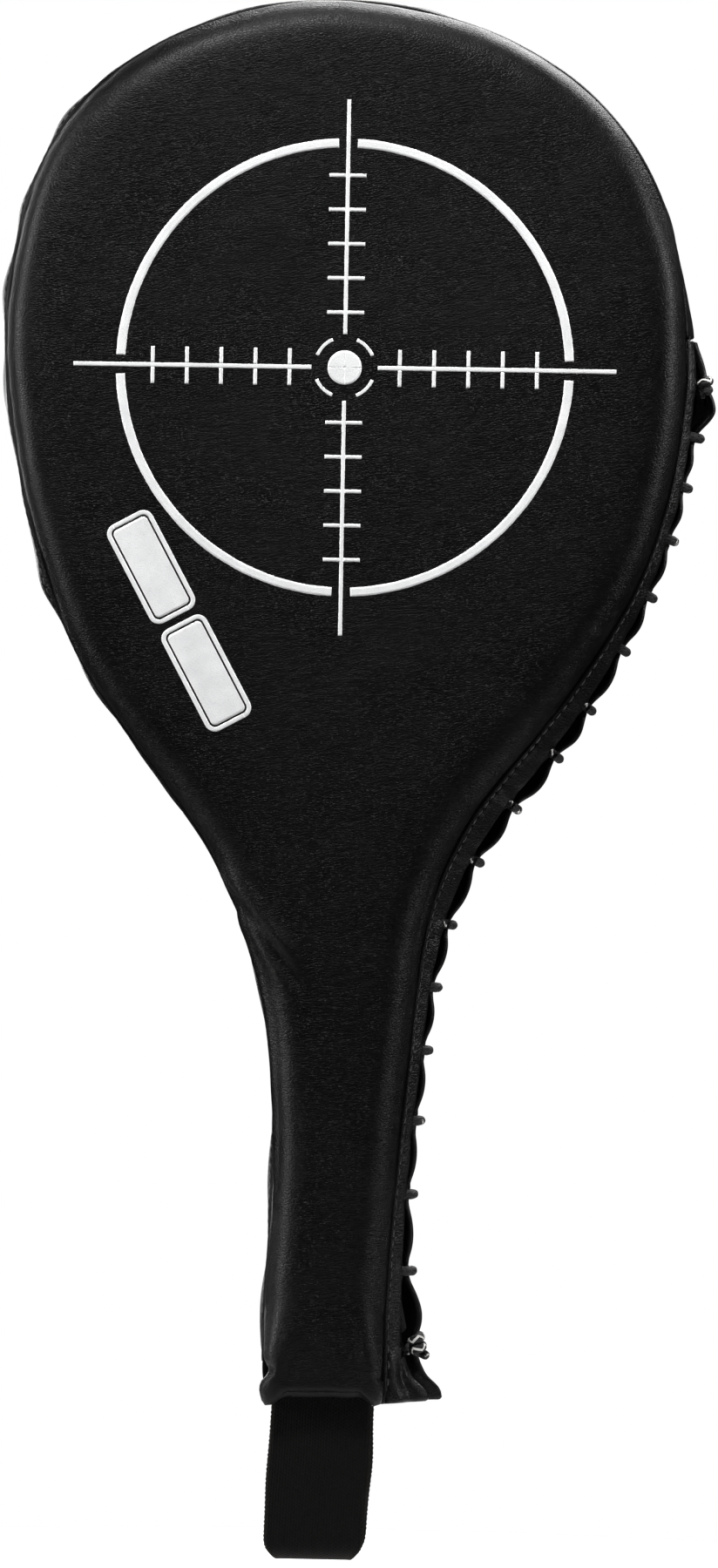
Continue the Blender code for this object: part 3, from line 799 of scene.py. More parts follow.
def outer_rings(side, folds, seed):
    """Rings of the outer surface of a face, from the turned-in seam edge, over the
    roll and in to the spine."""
    left, right = pair_stations()
    count = len(left) - 1
    s = np.concatenate([left, right[1:count][::-1]])
    point, out = at(s)
    z = point[:, 1]
    radius = roll_at(z)
    ring_list, normals, lifts = [], [], []

    def add(inset, y, nx, ny, lift):
        p = point - out * np.asarray(inset)[:, None]
        ring_list.append(np.stack([p[:, 0], side * np.asarray(y), p[:, 1]], -1))
        normals.append(
            np.stack([out[:, 0] * nx, np.full(len(s), side * ny), out[:, 1] * nx], -1)
        )
        lifts.append(lift)

    ones = np.ones(len(s))
    # the edge is turned in at the seam, which leaves a groove
    for inset, y, nx, ny, lift in (
        (1.6, 10.98, 0.0, -1.0, 0.0),
        (1.1, 10.98, 0.0, -1.0, 0.0),
        (0.66, 11.1, 0.6, -0.8, 0.15),
        (0.22, 11.42, 0.9, -0.4, 0.45),
    ):
        add(inset * ones, y * ones, nx, ny, lift)
    puff = 0.25 + 0.1 * np.sin(s / 11.3) + 0.08 * np.sin(s / 6.1 + 1)
    for k, a in enumerate(ROLL_TURNS):
        rise = FACE_Y - radius * (1 - math.sin(a))
        rise = np.where(k == 0, np.maximum(rise, 11.85), rise)
        add(
            radius * (1 - math.cos(a)),
            rise,
            math.cos(a),
            math.sin(a),
            1.0 if k else 0.75,
        )
        turn = math.sin(a * 2)
        ring_list[-1] += normals[-1] * (puff * turn * radius / ROLL)[:, None]
    start = ring_list[-1][:, [0, 2]]
    mean_z = (point[:, 1] + np.concatenate([point[:1], point[1:][::-1]])[:, 1]) / 2
    goal = spine(mean_z)
    # the two sides of a row share their spine point exactly
    mirror = np.concatenate([[0], np.arange(len(s) - 1, 0, -1)])
    goal = (goal + goal[mirror]) / 2
    span = np.linalg.norm(goal - start, axis=1)
    for k in range(1, INTERIOR + 1):
        t = (k / INTERIOR) ** 1.25
        p = start * (1 - t) + goal * t
        far = t * span
        crown = 0.85 * (1 - np.exp(-far / 26.0))
        y = FACE_Y + crown
        ring_list.append(np.stack([p[:, 0], side * y, p[:, 1]], -1))
        normals.append(np.tile([0.0, float(side), 0.0], (len(s), 1)))
        lifts.append(1.0)
    rings = np.array(ring_list)
    norms = np.array(normals)
    lifts = np.array(lifts)[:, None]
    # the roll runs into the flat of the face without a line
    for _ in range(12):
        rings[6:-1] = 0.25 * rings[5:-2] + 0.5 * rings[6:-1] + 0.25 * rings[7:]
        norms[6:-1] = 0.25 * norms[5:-2] + 0.5 * norms[6:-1] + 0.25 * norms[7:]
    norms /= np.linalg.norm(norms, axis=-1, keepdims=True)
    # rolled edge: pinches and lobes, fading out over the roll
    edge = edge_shift(s, z, side)
    for k in range(len(rings)):
        fade = 1.0 if k < 8 else max(0.0, 1 - (k - 8) / 9.0)
        rings[k][:, 0] += out[:, 0] * edge * fade
        rings[k][:, 2] += out[:, 1] * edge * fade
    x, zz = rings[..., 0], rings[..., 2]
    height = fold_height(x, zz, folds) * lifts
    flat = norms[..., 1] * side
    height += 0.16 * wander(x, zz, seed) * np.clip(flat, 0, 1) * lifts
    # gathers that the seam draws in, strongest at the roll's foot
    foot = np.zeros(len(rings))
    foot[3:9] = (0.5, 1.0, 0.9, 0.7, 0.45, 0.2)
    gather = np.sin(s / 1.9 + 1.3 * np.sin(s / 13)) * 0.055
    height += foot[:, None] * gather[None, :]
    rings += norms * height[..., None]
    return s, rings, norms, count


def face_faces(count, rings, offset=0):
    """Quads of the rings of a face, whose last ring is folded up along the spine."""
    total = 2 * count
    rows = len(rings)
    faces = []

    def index(r, i):
        i %= total
        if r == rows - 1 and i > count:
            i = total - i
        return offset + r * total + i

    for r in range(rows - 1):
        for i in range(total):
            quad = [index(r, i), index(r, i + 1), index(r + 1, i + 1), index(r + 1, i)]
            kept = []
            for v in quad:
                if v not in kept:
                    kept.append(v)
            if len(kept) > 2:
                faces.append(tuple(kept))
    return faces


def compact(verts, faces):
    """Leaves out the points that no face uses."""
    used = np.zeros(len(verts), bool)
    used[np.concatenate([np.array(f) for f in faces])] = True
    new = np.cumsum(used) - 1
    return verts[used], [tuple(int(new[v]) for v in f) for f in faces], used


def settle(rings, norms, faces, strength, cap, seed):
    """Lets the outer surface of a face find its shape as cloth: held at the seam,
    blown out against its own stretch, and kept close to the foam below it."""
    verts = rings.reshape(-1, 3)
    used_verts, used_faces, used = compact(verts, faces)
    mesh = bpy.data.meshes.new("settle")
    mesh.from_pydata((used_verts * MM * 10).tolist(), [], used_faces)
    cloth_obj = bpy.data.objects.new("settle", mesh)
    bpy.context.scene.collection.objects.link(cloth_obj)
    normals = norms.reshape(-1, 3)[used]
    ring_of = np.repeat(np.arange(len(rings)), rings.shape[1])[used]
    group = cloth_obj.vertex_groups.new(name="pin")
    for level, weight in ((0, 1.0), (1, 1.0), (2, 1.0), (3, 1.0), (4, 0.7), (5, 0.25)):
        group.add([int(i) for i in np.flatnonzero(ring_of == level)], weight, "REPLACE")
    cloth = cloth_obj.modifiers.new("cloth", "CLOTH")
    setting = cloth.settings
    setting.quality = 5
    setting.mass = 0.4
    setting.tension_stiffness = 18
    setting.compression_stiffness = 18
    setting.shear_stiffness = 6
    setting.bending_stiffness = 0.9
    setting.tension_damping = 12
    setting.compression_damping = 12
    setting.use_pressure = True
    setting.uniform_pressure_force = strength
    setting.vertex_group_mass = "pin"
    setting.shrink_min = seed
    setting.effector_weights.gravity = 0
    cloth.collision_settings.use_collision = False
    cloth.collision_settings.use_self_collision = False
    scene = bpy.context.scene
    cloth.point_cache.frame_start, cloth.point_cache.frame_end = 1, 16
    for number in range(1, 17):
        scene.frame_set(number)
    deps = bpy.context.evaluated_depsgraph_get()
    moved = np.zeros(len(used_verts) * 3)
    cloth_obj.evaluated_get(deps).data.vertices.foreach_get("co", moved)
    moved = moved.reshape(-1, 3) / (MM * 10)
    scene.frame_set(1)
    bpy.data.objects.remove(cloth_obj, do_unlink=True)
    bpy.data.meshes.remove(mesh)
    rise = ((moved - used_verts) * normals).sum(1)
    rise = cap * np.tanh(rise / cap)
    full = np.zeros(len(verts))
    full[used] = rise
    full = full.reshape(rings.shape[:2])
    # the last ring folds up on itself along the spine, and so do its heights
    total = full.shape[1]
    back = np.concatenate([[0], np.arange(total - 1, 0, -1)])
    full[-1] = np.where(np.arange(total) > total // 2, full[-1][back], full[-1])
    for _ in range(10):
        around = (np.roll(full, 1, 1) + np.roll(full, -1, 1)) / 4
        full[:-1] = full[:-1] / 2 + around[:-1]
    return full


def face_cover(name, side, folds, seed, node_name):
    s, rings, norms, count = outer_rings(side, folds, seed)
    total = 2 * count
    faces = face_faces(count, rings)
    rise = settle(rings, norms, faces, 3.0, 0.75, 0.0)
    rings = rings + norms * rise[..., None]
    # the inner skin follows the outer one, a leather's thickness below it
    inner = rings[3:] - norms[3:] * SKIN
    inner[0] = rings[0] - norms[3] * 0.0
    first = rings[0].copy()
    point, out = at(s)
    first[:, 0] -= out[:, 0] * 0.35
    first[:, 2] -= out[:, 1] * 0.35
    first[:, 1] += side * 0.75
    inner[0] = first
    second = inner[1]
    both = np.concatenate([rings.reshape(-1, 3), inner.reshape(-1, 3)])
    offset = rings.shape[0] * total
    faces = face_faces(count, rings)
    faces += [f[::-1] for f in face_faces(count, inner, offset)]
    for i in range(total):
        j = (i + 1) % total
        faces.append((i, offset + i, offset + j, j))
    verts, faces, used = compact(both, faces)
    obj = make(
        name, verts, faces, FACE_LEATHER, node=(node_name,)
    )
    # rubbed along the roll and at the folds
    wear = np.zeros(rings.shape[:2])
    for k in range(len(rings)):
        wear[k] = 0.55 * bump(k - 8, 4.0) if k < 16 else 0.0
    wear += np.clip(fold_height(rings[..., 0], rings[..., 2], folds), 0, 1) * 0.5
    both_wear = np.concatenate([wear.ravel(), np.zeros(inner.shape[0] * total)])
    set_point_layer(obj, both_wear[used])
    return obj


COVER_FRONT = face_cover("cover_front", -1, FRONT_FOLDS, 0.4, "front_panel")
COVER_BACK = face_cover("cover_back", 1, BACK_FOLDS, 2.3, "back_panel")


# ------------------------------------------------------------------ side strip
STITCH_IN = 1.9  # from a seam to the topstitching


def side_ripple(s):
    """How far the side strip bulges: soft, uneven ripples."""
    point = at(s)[0]
    x, z = point[..., 0], point[..., 1]
    wave = 0.45 * np.sin(s / 6.3 + 1.1 * np.sin(s / 31)) + 0.4 * np.sin(s / 10.7 + 0.8)
    wave += 0.25 * np.sin(s / 3.9 + 2.0)
    total = (0.9 + 0.55 * wave) * (1 - 0.6 * smooth_step(x, 10.0, 60.0))
    for height, width, lift in (
        (326, 7, 1.5),
        (298, 8, 1.3),
        (272, 9, 1.6),
        (238, 9, 0.9),
        (212, 8, 1.0),
        (186, 7, 1.7),
        (158, 9, 0.6),
        (8, 14, 0.4),
        (-34, 9, 1.0),
    ):
        total = total + lift * bump(z - height, width) * (x < 0)
    total = total - 1.2 * bump(z + 46.5, 3.2) * (x < 0)
    return total


def gusset_rings(s):
    v = np.linspace(-1, 1, 41)
    point, out = at(s)
    z = point[:, 1]
    slit = where(SLIT_TOP_Z, 1)
    near_slit = smooth_step(s, slit - 26, slit)
    ripple = side_ripple(s)
    edge = SEAM_Y - 0.32
    depth_y = v * (edge - 0.35)
    # outer surface, with a rounded turned-in edge, a stitch groove and soft ripples
    across = 1 - np.abs(v) ** 2.2
    full = ripple[:, None] * (1 - np.abs(v) ** 3)[None, :]
    lean = 1 + 0.35 * np.sin(s / 17.0)[:, None] * v[None, :]
    n = full * lean * (1 - 0.5 * near_slit[:, None])
    n = n + near_slit[:, None] * 1.5 * across[None, :]
    from_seam = (1 - np.abs(v)) * (edge - 0.35)
    n = n - 0.36 * bump(from_seam - STITCH_IN, 0.45)[None, :]
    n = n + 0.36 * bump(from_seam - 0.9, 0.55)[None, :]
    pucker = 0.1 * np.sin(s * 2 * math.pi / 3.1)[:, None]
    n = n + pucker * (bump(from_seam - 2.6, 1.3))[None, :]
    # short diagonal drags from the seams
    for k, (fs, fy) in enumerate(((5.3, 0.35), (7.7, -0.5), (4.1, 0.6))):
        n = n + 0.14 * np.sin(s[:, None] / fs + depth_y[None, :] * fy + k) * across
    outer = np.stack([n, np.broadcast_to(depth_y, n.shape)], -1)
    lead = [(-1.6, -edge + 0.02), (-0.95, -edge + 0.05), (-0.4, -edge + 0.2)]
    lead = np.array(lead)
    tail = lead[::-1] * [1, -1]
    shape = (len(s), len(lead), 2)
    outer = np.concatenate(
        [np.broadcast_to(lead, shape), outer, np.broadcast_to(tail, shape)], 1
    )
    inner_y = np.interp(
        np.linspace(0, 1, outer.shape[1]), [0, 0.1, 0.9, 1], [-9.9, -8.6, 8.6, 9.9]
    )
    inner = np.stack(
        [
            np.minimum(outer[..., 0], n.max(1, keepdims=True)) - SKIN,
            np.broadcast_to(inner_y, outer.shape[:2]),
        ],
        -1,
    )
    inner[:, :4, 0] = np.minimum(inner[:, :4, 0], -1.35)
    inner[:, -4:, 0] = np.minimum(inner[:, -4:, 0], -1.35)
    return np.concatenate([outer, inner[:, ::-1]], 1), outer.shape[1]


def placed(s, section):
    """Sections of (out, depth) pairs, placed along the outline."""
    point, out = at(s)
    x = point[:, None, 0] + out[:, None, 0] * section[..., 0]
    z = point[:, None, 1] + out[:, None, 1] * section[..., 0]
    return np.stack([x, section[..., 1], z], -1)


def closed_ends(s, section, outer_count, grow=0.55):
    """Adds rounded ends to a strip: the last sections shrink to their middle line."""
    half = outer_count
    outer, inner = section[:, :half], section[:, -half:][:, ::-1]
    middle = (outer + inner) / 2
    extra = section.shape[1] - 2 * half
    centre = np.concatenate(
        [middle, np.repeat(middle[:, -1:], extra, 1), middle[:, ::-1]], 1
    )

    def shrunk(i, share):
        return section[i] * (1 - share) + centre[i] * share

    parts_s, parts = [], []
    for share, shift in ((0.8, -grow), (0.35, -grow * 0.75), (0.08, -grow * 0.35)):
        parts_s.append(s[0] + shift)
        parts.append(shrunk(0, share))
    parts_s += list(s)
    parts += list(section)
    for share, shift in ((0.08, grow * 0.35), (0.35, grow * 0.75), (0.8, grow)):
        parts_s.append(s[-1] + shift)
        parts.append(shrunk(-1, share))
    return np.array(parts_s), np.array(parts)


GUSSET_START = where(-45.0, -1)
SLIT_S = where(SLIT_TOP_Z, 1)
SLIT_END_S = where(SLIT_END_Z, 1)
gusset_s = stations(GUSSET_START, SLIT_S - 0.7, lambda z: 1.15)
gusset_section, gusset_outer = gusset_rings(gusset_s)
end_s, end_section = closed_ends(gusset_s, gusset_section, gusset_outer)
rings = placed(end_s, end_section)
GUSSET = make(
    "side_strip",
    rings.reshape(-1, 3),
    skin(rings),
    SIDE_LEATHER,
    node=("side_gusset",),
    sharp=50,
)
wear = np.zeros(rings.shape[:2])
wear[:, 3:gusset_outer] = np.clip(end_section[:, 3:gusset_outer, 0] / 2.6, 0, 1) * 0.5
set_point_layer(GUSSET, wear.ravel())
# painted shade along the seam and the stitch line, stored in the "groove" attribute
seam = np.zeros(rings.shape[:2])
seam_y = SEAM_Y - 0.32 - np.abs(end_section[:, :gusset_outer, 1])
seam[:, :gusset_outer] = 0.9 * bump(seam_y, 0.45) + 0.85 * bump(
    seam_y - STITCH_IN - 0.35, 0.32
)
set_point_layer(GUSSET, np.clip(seam, 0, 1).ravel(), "groove")


# ----------------------------------------------------------------- laced flaps
def ridge_s(z):
    """Distance along the outline whose ridge point has the height z."""
    fine = np.linspace(where(SLIT_TOP_Z, 1), where(SLIT_END_Z, 1), 1200)
    point, out = at(fine)
    edge = (ridge_at(point[:, 1], -1) + ridge_at(point[:, 1], 1)) / 2
    height = point[:, 1] + out[:, 1] * edge
    return float(fine[int(np.argmin(np.abs(height - z)))])


HOLES = np.array([ridge_s(z) for z in HOLE_Z])


def open_at(s):
    """0 where the lace draws the flaps together, 1 halfway between two stitches."""
    s = np.asarray(s, float)
    knots = np.concatenate([[SLIT_S - 12], HOLES, [SLIT_END_S + 10]])
    k = np.clip(np.searchsorted(knots, s) - 1, 0, len(knots) - 2)
    t = (s - knots[k]) / (knots[k + 1] - knots[k])
    return np.sin(np.pi * np.clip(t, 0, 1)) ** 1.15


def plain_flap(s, side):
    """Outer points of a flap before the lace draws it, from the seam to its edge."""
    z = at(s)[0][..., 1]
    b = ridge_at(z, side) + 3.0 * smooth_step(-z, 46.0, 51.0)
    b = b + 2.2 * bump(z - 141.0, 24.0)
    return b, np.stack(
        [
            np.stack([0.28 * b + 0.5, -8.2 + 0 * b], -1),
            np.stack([0.66 * b + 0.9, -5.5 + 0 * b], -1),
            np.stack([b, -(1.9 + 0.07 * b)], -1),
        ],
        -2,
    )


def flap_controls(s, side):
    b, pts = plain_flap(s, side)
    c = open_at(s)
    z = at(s)[0][..., 1]
    low = smooth_step(-z, 22, 44)
    pts[..., 2, 0] -= (1 - c) * LACE_PULL
    if side < 0:
        pts[..., 2, 0] += c * (-0.24 * b - 1.15) * (1 - low)
        pts[..., 2, 1] += -c * 1.35
        pts[..., 1, 0] += c * 0.04 * b
        pts[..., 1, 1] += -c * 0.35
    else:
        pts[..., 2, 0] += c * (0.09 * b + 0.45)
        pts[..., 2, 1] += -c * 0.75
        pts[..., 1, 0] += c * (0.05 * b + 0.2)
        pts[..., 1, 1] += -c * 0.2
    lead = np.array([(-1.7, -10.74), (-0.85, -10.64), (-0.22, -10.3)])
    shape = (*b.shape, 3, 2)
    third = np.stack([0.14 * b + 0.26, -9.5 + 0 * b], -1)[..., None, :]
    return np.concatenate([np.broadcast_to(lead, shape), third, pts], -2)


FLAP_SPANS = (2, 3, 4, 5, 8, 9)


def flap_surface(s, side):
    """Outer section points and their outward normals, with the arc from the seam."""
    pts = flap_controls(s, side)
    curve = np.moveaxis(catmull(np.moveaxis(pts, -2, 0), list(FLAP_SPANS)), 0, -2)
    ahead = np.gradient(curve, axis=-2)
    ahead /= np.linalg.norm(ahead, axis=-1, keepdims=True)
    normal = np.stack([ahead[..., 1], -ahead[..., 0]], -1)
    steps = np.linalg.norm(np.diff(curve, axis=-2), axis=-1)
    arc = np.concatenate([np.zeros((*steps.shape[:-1], 1)), np.cumsum(steps, -1)], -1)
    arc = arc - arc[..., 5:6]
    return curve, normal, arc


def flap_lift(s, arc, side):
    """Fine relief of a flap: the sewn edge, puckers, and the pull of each stitch."""
    s = np.asarray(s, float)[..., None]
    lift = -0.38 * bump(arc - STITCH_IN, 0.45) + 0.42 * bump(arc - 0.9, 0.55)
    lift = lift + 0.09 * np.sin(s * 2 * math.pi / 3.1) * bump(arc - 2.5, 1.2)
    total = arc[..., -1:]
    share = np.clip(arc / total, 0, 1)
    for k, h in enumerate(HOLES):
        lean = 0.35 * math.sin(2.1 * k + (0 if side < 0 else 1.5))
        gap = s - h - lean * (total - arc)
        pull = 0.42 * bump(gap, 2.3) - 0.3 * bump(gap - 3.6, 2.2)
        pull = pull - 0.3 * bump(gap + 3.6, 2.2)
        lift = lift + pull * share**1.3 * (1 - 0.5 * smooth_step(share, 0.85, 1))
    wave = 0.2 * np.sin(s / 5.1 + side) + 0.14 * np.sin(s / 2.7 + 2 * side)
    lift = lift + wave * share * (1.0 - share) * 2.2
    z = at(s[..., 0])[0][..., 1][..., None]
    # deep soft crease below the last stitch, where the end of the opening splays
    low = smooth_step(-z, 40, 46)
    lift = lift + low * (0.9 * bump(share - 0.35, 0.16) - 1.0 * bump(share - 0.68, 0.13))
    return lift


def flap_section(s, side):
    curve, normal, arc = flap_surface(s, side)
    lift = flap_lift(s, arc, side)
    outer = curve + normal * lift[..., None]
    total = arc[..., -1:]
    hem = smooth_step(arc - total, -7.2, -6.2)
    thick = SKIN + (HEM - SKIN) * hem
    radius = HEM / 2
    tip, out = outer[:, -1], normal[:, -1]
    ahead = np.stack([-out[:, 1], out[:, 0]], -1)
    centre = tip - out * radius
    nose = []
    for turn in np.radians((25, 52, 80, 108, 136, 160)):
        nose.append(centre + radius * (math.cos(turn) * out + math.sin(turn) * ahead))
    nose = np.stack(nose, 1)
    inner = outer - normal * thick[..., None]
    inner[:, :4, 0] = np.minimum(inner[:, :4, 0], -1.75)
    inner[:, :4, 1] = np.linspace(-9.9, -9.3, 4)[None, :]
    section = np.concatenate([outer, nose, inner[:, ::-1]], 1)
    return section, outer.shape[1], lift


HOLE_COLUMN = sum(FLAP_SPANS[:5]) + 3
HOLE_R = 1.75


def hang(s, n):
    """How far the splayed lower end of a flap hangs below its plain line."""
    low = smooth_step(s, SLIT_END_S - 13.0, SLIT_END_S)
    return low * np.clip(6.2 - 0.3 * np.asarray(n, float), 1.0, 6.2)


def flap(name, side, node_name):
    s = stations(SLIT_S + 0.9, SLIT_END_S - 0.2, lambda z: 0.8)
    section, outer_count, lift = flap_section(s, side)
    wear = np.zeros(section.shape[:2])
    wear[:, outer_count - 7 : outer_count + 3] = 0.7
    wear[:, 5:outer_count] += np.clip(lift[:, 5:] * 0.8, 0, 0.6)
    s, section = closed_ends(s, section, outer_count)
    wear = np.concatenate([wear[:1]] * 3 + [wear] + [wear[-1:]] * 3)
    arc = flap_surface(s, side)[2]
    # painted shade along the seam and the stitch line, stored in the "groove" attribute
    seam = np.zeros(section.shape[:2])
    seam[:, :outer_count] = 0.9 * bump(arc + 0.1, 0.5) + 0.85 * bump(
        arc - STITCH_IN, 0.32
    )
    section = section * [1, -side]
    rings = placed(s, section)
    rings[..., 2] -= hang(s[:, None], section[..., 0])
    rows, count = rings.shape[:2]
    faces = skin(rings)
    quads = (rows - 1) * count
    drop = set()
    walls = []
    for h in HOLES:
        # the cells of both skins round a hole, opened and drawn out to a circle
        low = int(np.argmin(np.abs(s - (h - 1.7))))
        high = int(np.argmin(np.abs(s - (h + 1.7))))
        left, right = HOLE_COLUMN - 4, HOLE_COLUMN + 4
        loop = [(low, j) for j in range(left, right)]
        loop += [(i, right) for i in range(low, high)]
        loop += [(high, j) for j in range(right, left, -1)]
        loop += [(i, left) for i in range(high, low, -1)]
        near = int(np.argmin(np.abs(s - h)))
        middle = rings[near, HOLE_COLUMN].copy()
        along = rings[near + 2, HOLE_COLUMN] - rings[near - 2, HOLE_COLUMN]
        middle += (h - s[near]) * along / np.linalg.norm(along)
        along /= np.linalg.norm(along)
        over = rings[near, HOLE_COLUMN + 3] - rings[near, HOLE_COLUMN - 3]
        over -= along * float(over @ along)
        over /= np.linalg.norm(over)
        axis = np.cross(along, over)
        mate = lambda j: outer_count + 6 + (outer_count - 1 - j)
        depth = rings[near, mate(HOLE_COLUMN)] - rings[near, HOLE_COLUMN]
        depth = axis * float(depth @ axis)
        sets = ((lambda j: j), middle), (mate, middle + depth)
        rims = []
        for column, centre in sets:
            rim = []
            for i, j in loop:
                gap = rings[i, column(j)] - centre
                u, v = float(gap @ along), float(gap @ over)
                size = math.hypot(u, v)
                rings[i, column(j)] = (
                    centre
                    + (along * u + over * v) * (HOLE_R / size)
                    + axis * float(gap @ axis)
                )
                rim.append(i * count + column(j))
            rims.append(rim)
        for i in range(low, high):
            for j in range(left, right):
                drop.add(i * count + j)
                drop.add(i * count + mate(j + 1))
        for k in range(len(loop)):
            m = (k + 1) % len(loop)
            walls.append((rims[0][k], rims[0][m], rims[1][m], rims[1][k]))
    kept = [f for k, f in enumerate(faces) if k >= quads or k not in drop]
    verts, kept, used = compact(rings.reshape(-1, 3), kept + walls)
    obj = make(
        name,
        verts,
        kept,
        FLAP_LEATHER,
        node=(node_name,),
        sharp=55,
    )
    set_point_layer(obj, wear.ravel()[used])
    set_point_layer(obj, np.clip(seam, 0, 1).ravel()[used], "groove")
    return obj


FLAP_FRONT = flap("flap_front", -1, "lace_flap_front")
FLAP_BACK = flap("flap_back", 1, "lace_flap_back")


# ----------------------------------------------------------- end of the handle
def end_cover():
    low = where(-45.0, -1) - 0.3
    parts = np.concatenate(
        [
            stations(SLIT_END_S + 1.7, LENGTH - 0.01, lambda z: 0.8),
            LENGTH + stations(1.0, low - 0.4, lambda z: 0.8),
        ]
    )
    point, out = at(parts)
    x, z = point[:, 0], point[:, 1]
    # narrow between the two ends of the strap, full width at the corners
    slot = 1 - smooth_step(np.abs(x + 0.8), 15.6, 17.4)
    half = 10.6 - 2.3 * slot
    v = np.linspace(-1, 1, 27)
    swell = 2.1 * smooth_step(-z, 50, 56) * slot + 0.5
    crease = 0.5 * bump(v[None, :] - 0.15 * np.sin(x[:, None] / 4), 0.12)
    n = swell[:, None] * (1 - np.abs(v) ** 2.4)[None, :] - crease
    n = n + 0.18 * np.sin(parts[:, None] / 2.3 + v[None, :] * 2) * (1 - v**2)[None, :]
    y = half[:, None] * v[None, :]
    outer = np.stack([n, y], -1)
    inner = np.stack([n - SKIN, y * 0.97], -1)
    section = np.concatenate([outer, inner[:, ::-1]], 1)
    s, section = closed_ends(parts, section, outer.shape[1])
    rings = placed(s, section)
    obj = make(
        "end_cover",
        rings.reshape(-1, 3),
        skin(rings),
        SIDE_LEATHER,
        node=("handle_end_cap",),
        sharp=50,
    )
    set_point_layer(obj, np.full(rings.shape[0] * rings.shape[1], 0.25))
    return obj


end_cover()


# -------------------------------------------------------------------- stitches
def bead_string(name, centres, ahead, lift, length, width, height, node_name):
    """Separate stitches: short, rounded, flattened lengths of thread."""
    rows = ((-1.0, 0.25, -0.55), (-0.8, 0.75, -0.1), (-0.35, 1.0, 0.25))
    rows = rows + tuple((-a, b, c) for a, b, c in rows[::-1])
    sides = 8
    verts, faces = [], []
    across = np.cross(ahead, lift)
    across /= np.linalg.norm(across, axis=1, keepdims=True)
    for centre, a, up, right in zip(centres, ahead, lift, across):
        base = len(verts)
        for along, size, rise in rows:
            for k in range(sides):
                t = 2 * math.pi * k / sides
                verts.append(
                    centre
                    + a * along * length / 2
                    + right * math.cos(t) * width / 2 * size
                    + up * (math.sin(t) * height / 2 * size + rise * height * 0.6)
                )
        for r in range(len(rows) - 1):
            low, high = base + r * sides, base + (r + 1) * sides
            for k in range(sides):
                j = (k + 1) % sides
                faces.append((low + k, low + j, high + j, high + k))
        faces.append(tuple(base + k for k in range(sides)))
        last = base + (len(rows) - 1) * sides
        faces.append(tuple(last + k for k in range(sides))[::-1])
    return make(
        name, verts, faces, THREAD, node=(node_name,), sharp=None
    )


def seam_stitches(name, side, node_name):
    pitch = 3.1
    s = np.arange(where(-43.0, -1), SLIT_END_S - 1.5, pitch)
    centres, lifts = [], []
    for v in s:
        if v < SLIT_S - 1.5:
            one = np.array([v])
            section, count = gusset_rings(one)
            outer = section[0, 3 : count - 3]
            want = side * (10.33 - STITCH_IN)
            n = float(np.interp(want, outer[:, 1], outer[:, 0])) + 0.1
            centres.append(in_section(np.array(v), n, want))
            out = at(v)[1]
            tilt = side * 0.25
            lifts.append((out[0], tilt, out[1]))
        else:
            one = np.array([v])
            curve, normal, arc = flap_surface(one, side)
            k = int(np.argmin(np.abs(arc[0] - STITCH_IN)))
            raised = flap_lift(one, arc, side)[0, k] + 0.1
            p = curve[0, k] + normal[0, k] * raised
            centre = in_section(np.array(v), p[0], -side * p[1])
            centre[2] -= float(hang(v, p[0]))
            centres.append(centre)
            out = at(v)[1]
            lifts.append(
                (out[0] * normal[0, k, 0], -side * normal[0, k, 1], out[1] * normal[0, k, 0])
            )
    centres, lifts = np.array(centres), np.array(lifts)
    lifts /= np.linalg.norm(lifts, axis=1, keepdims=True)
    ahead = np.gradient(centres, axis=0)
    ahead /= np.linalg.norm(ahead, axis=1, keepdims=True)
    lifts -= ahead * (lifts * ahead).sum(1, keepdims=True)
    lifts /= np.linalg.norm(lifts, axis=1, keepdims=True)
    return bead_string(name, centres, ahead, lifts, 2.65, 0.62, 0.5, node_name)


seam_stitches("stitching_front", -1, "front_seam_thread")
seam_stitches("stitching_back", 1, "back_seam_thread")


# ------------------------------------------------------------------------ lace
def lace_section(s, side, first):
    """Lace points at one hole on one side: over the edge or in through the hole."""
    curve, normal, _ = flap_surface(np.array([s]), side)
    curve, normal = curve[0], normal[0]
    lift = LACE_D / 2 + LACE_CLEAR
    hole, axis = curve[HOLE_COLUMN], normal[HOLE_COLUMN]
    pts = [
        hole - axis * (HEM + lift + 0.9),
        hole - axis * (HEM / 2),
        hole + axis * (lift - 0.15),
        curve[-1] + normal[-1] * lift,
    ]
    pts = [in_section(np.array(s), n, -side * y) for n, y in pts]
    return pts if first else pts[::-1]


def lace_route():
    route = []
    first, last = HOLES[0], HOLES[-1]
    route.append(lace_section(first + 4.5, -1, True)[0])
    for s in HOLES[1:-1]:
        edge = max(float(flap_surface(np.array([s]), k)[0][0, -1, 0]) for k in (-1, 1))
        top = in_section(np.array(s), edge + LACE_D / 2 + LACE_CLEAR - 0.1, 0.0)
        route += lace_section(s, -1, True)
        route.append(top)
        route += lace_section(s, 1, False)
    route.append(lace_section(last - 4.5, 1, False)[-1])
    return catmull(route, 10)


def knot_route(z, turns, half_n, half_y, pitch, middle_y):
    """A stack of wraps of the lace that lies on the front flap's free edge."""
    s = ridge_s(z)
    count = int(turns * 28)
    out = []
    for k in range(count + 1):
        a = 2 * math.pi * k / 28 + math.pi / 2
        along = (k / count - 0.5) * turns * pitch
        near = [float(ridge_at(at(s + along + d)[0][1], -1)) for d in (-2, 0, 2)]
        n = max(near) + 1.75 + half_n * (1 - math.cos(a))
        out.append(in_section(np.array(s + along), n, middle_y + half_y * math.sin(a)))
    return np.array(out)


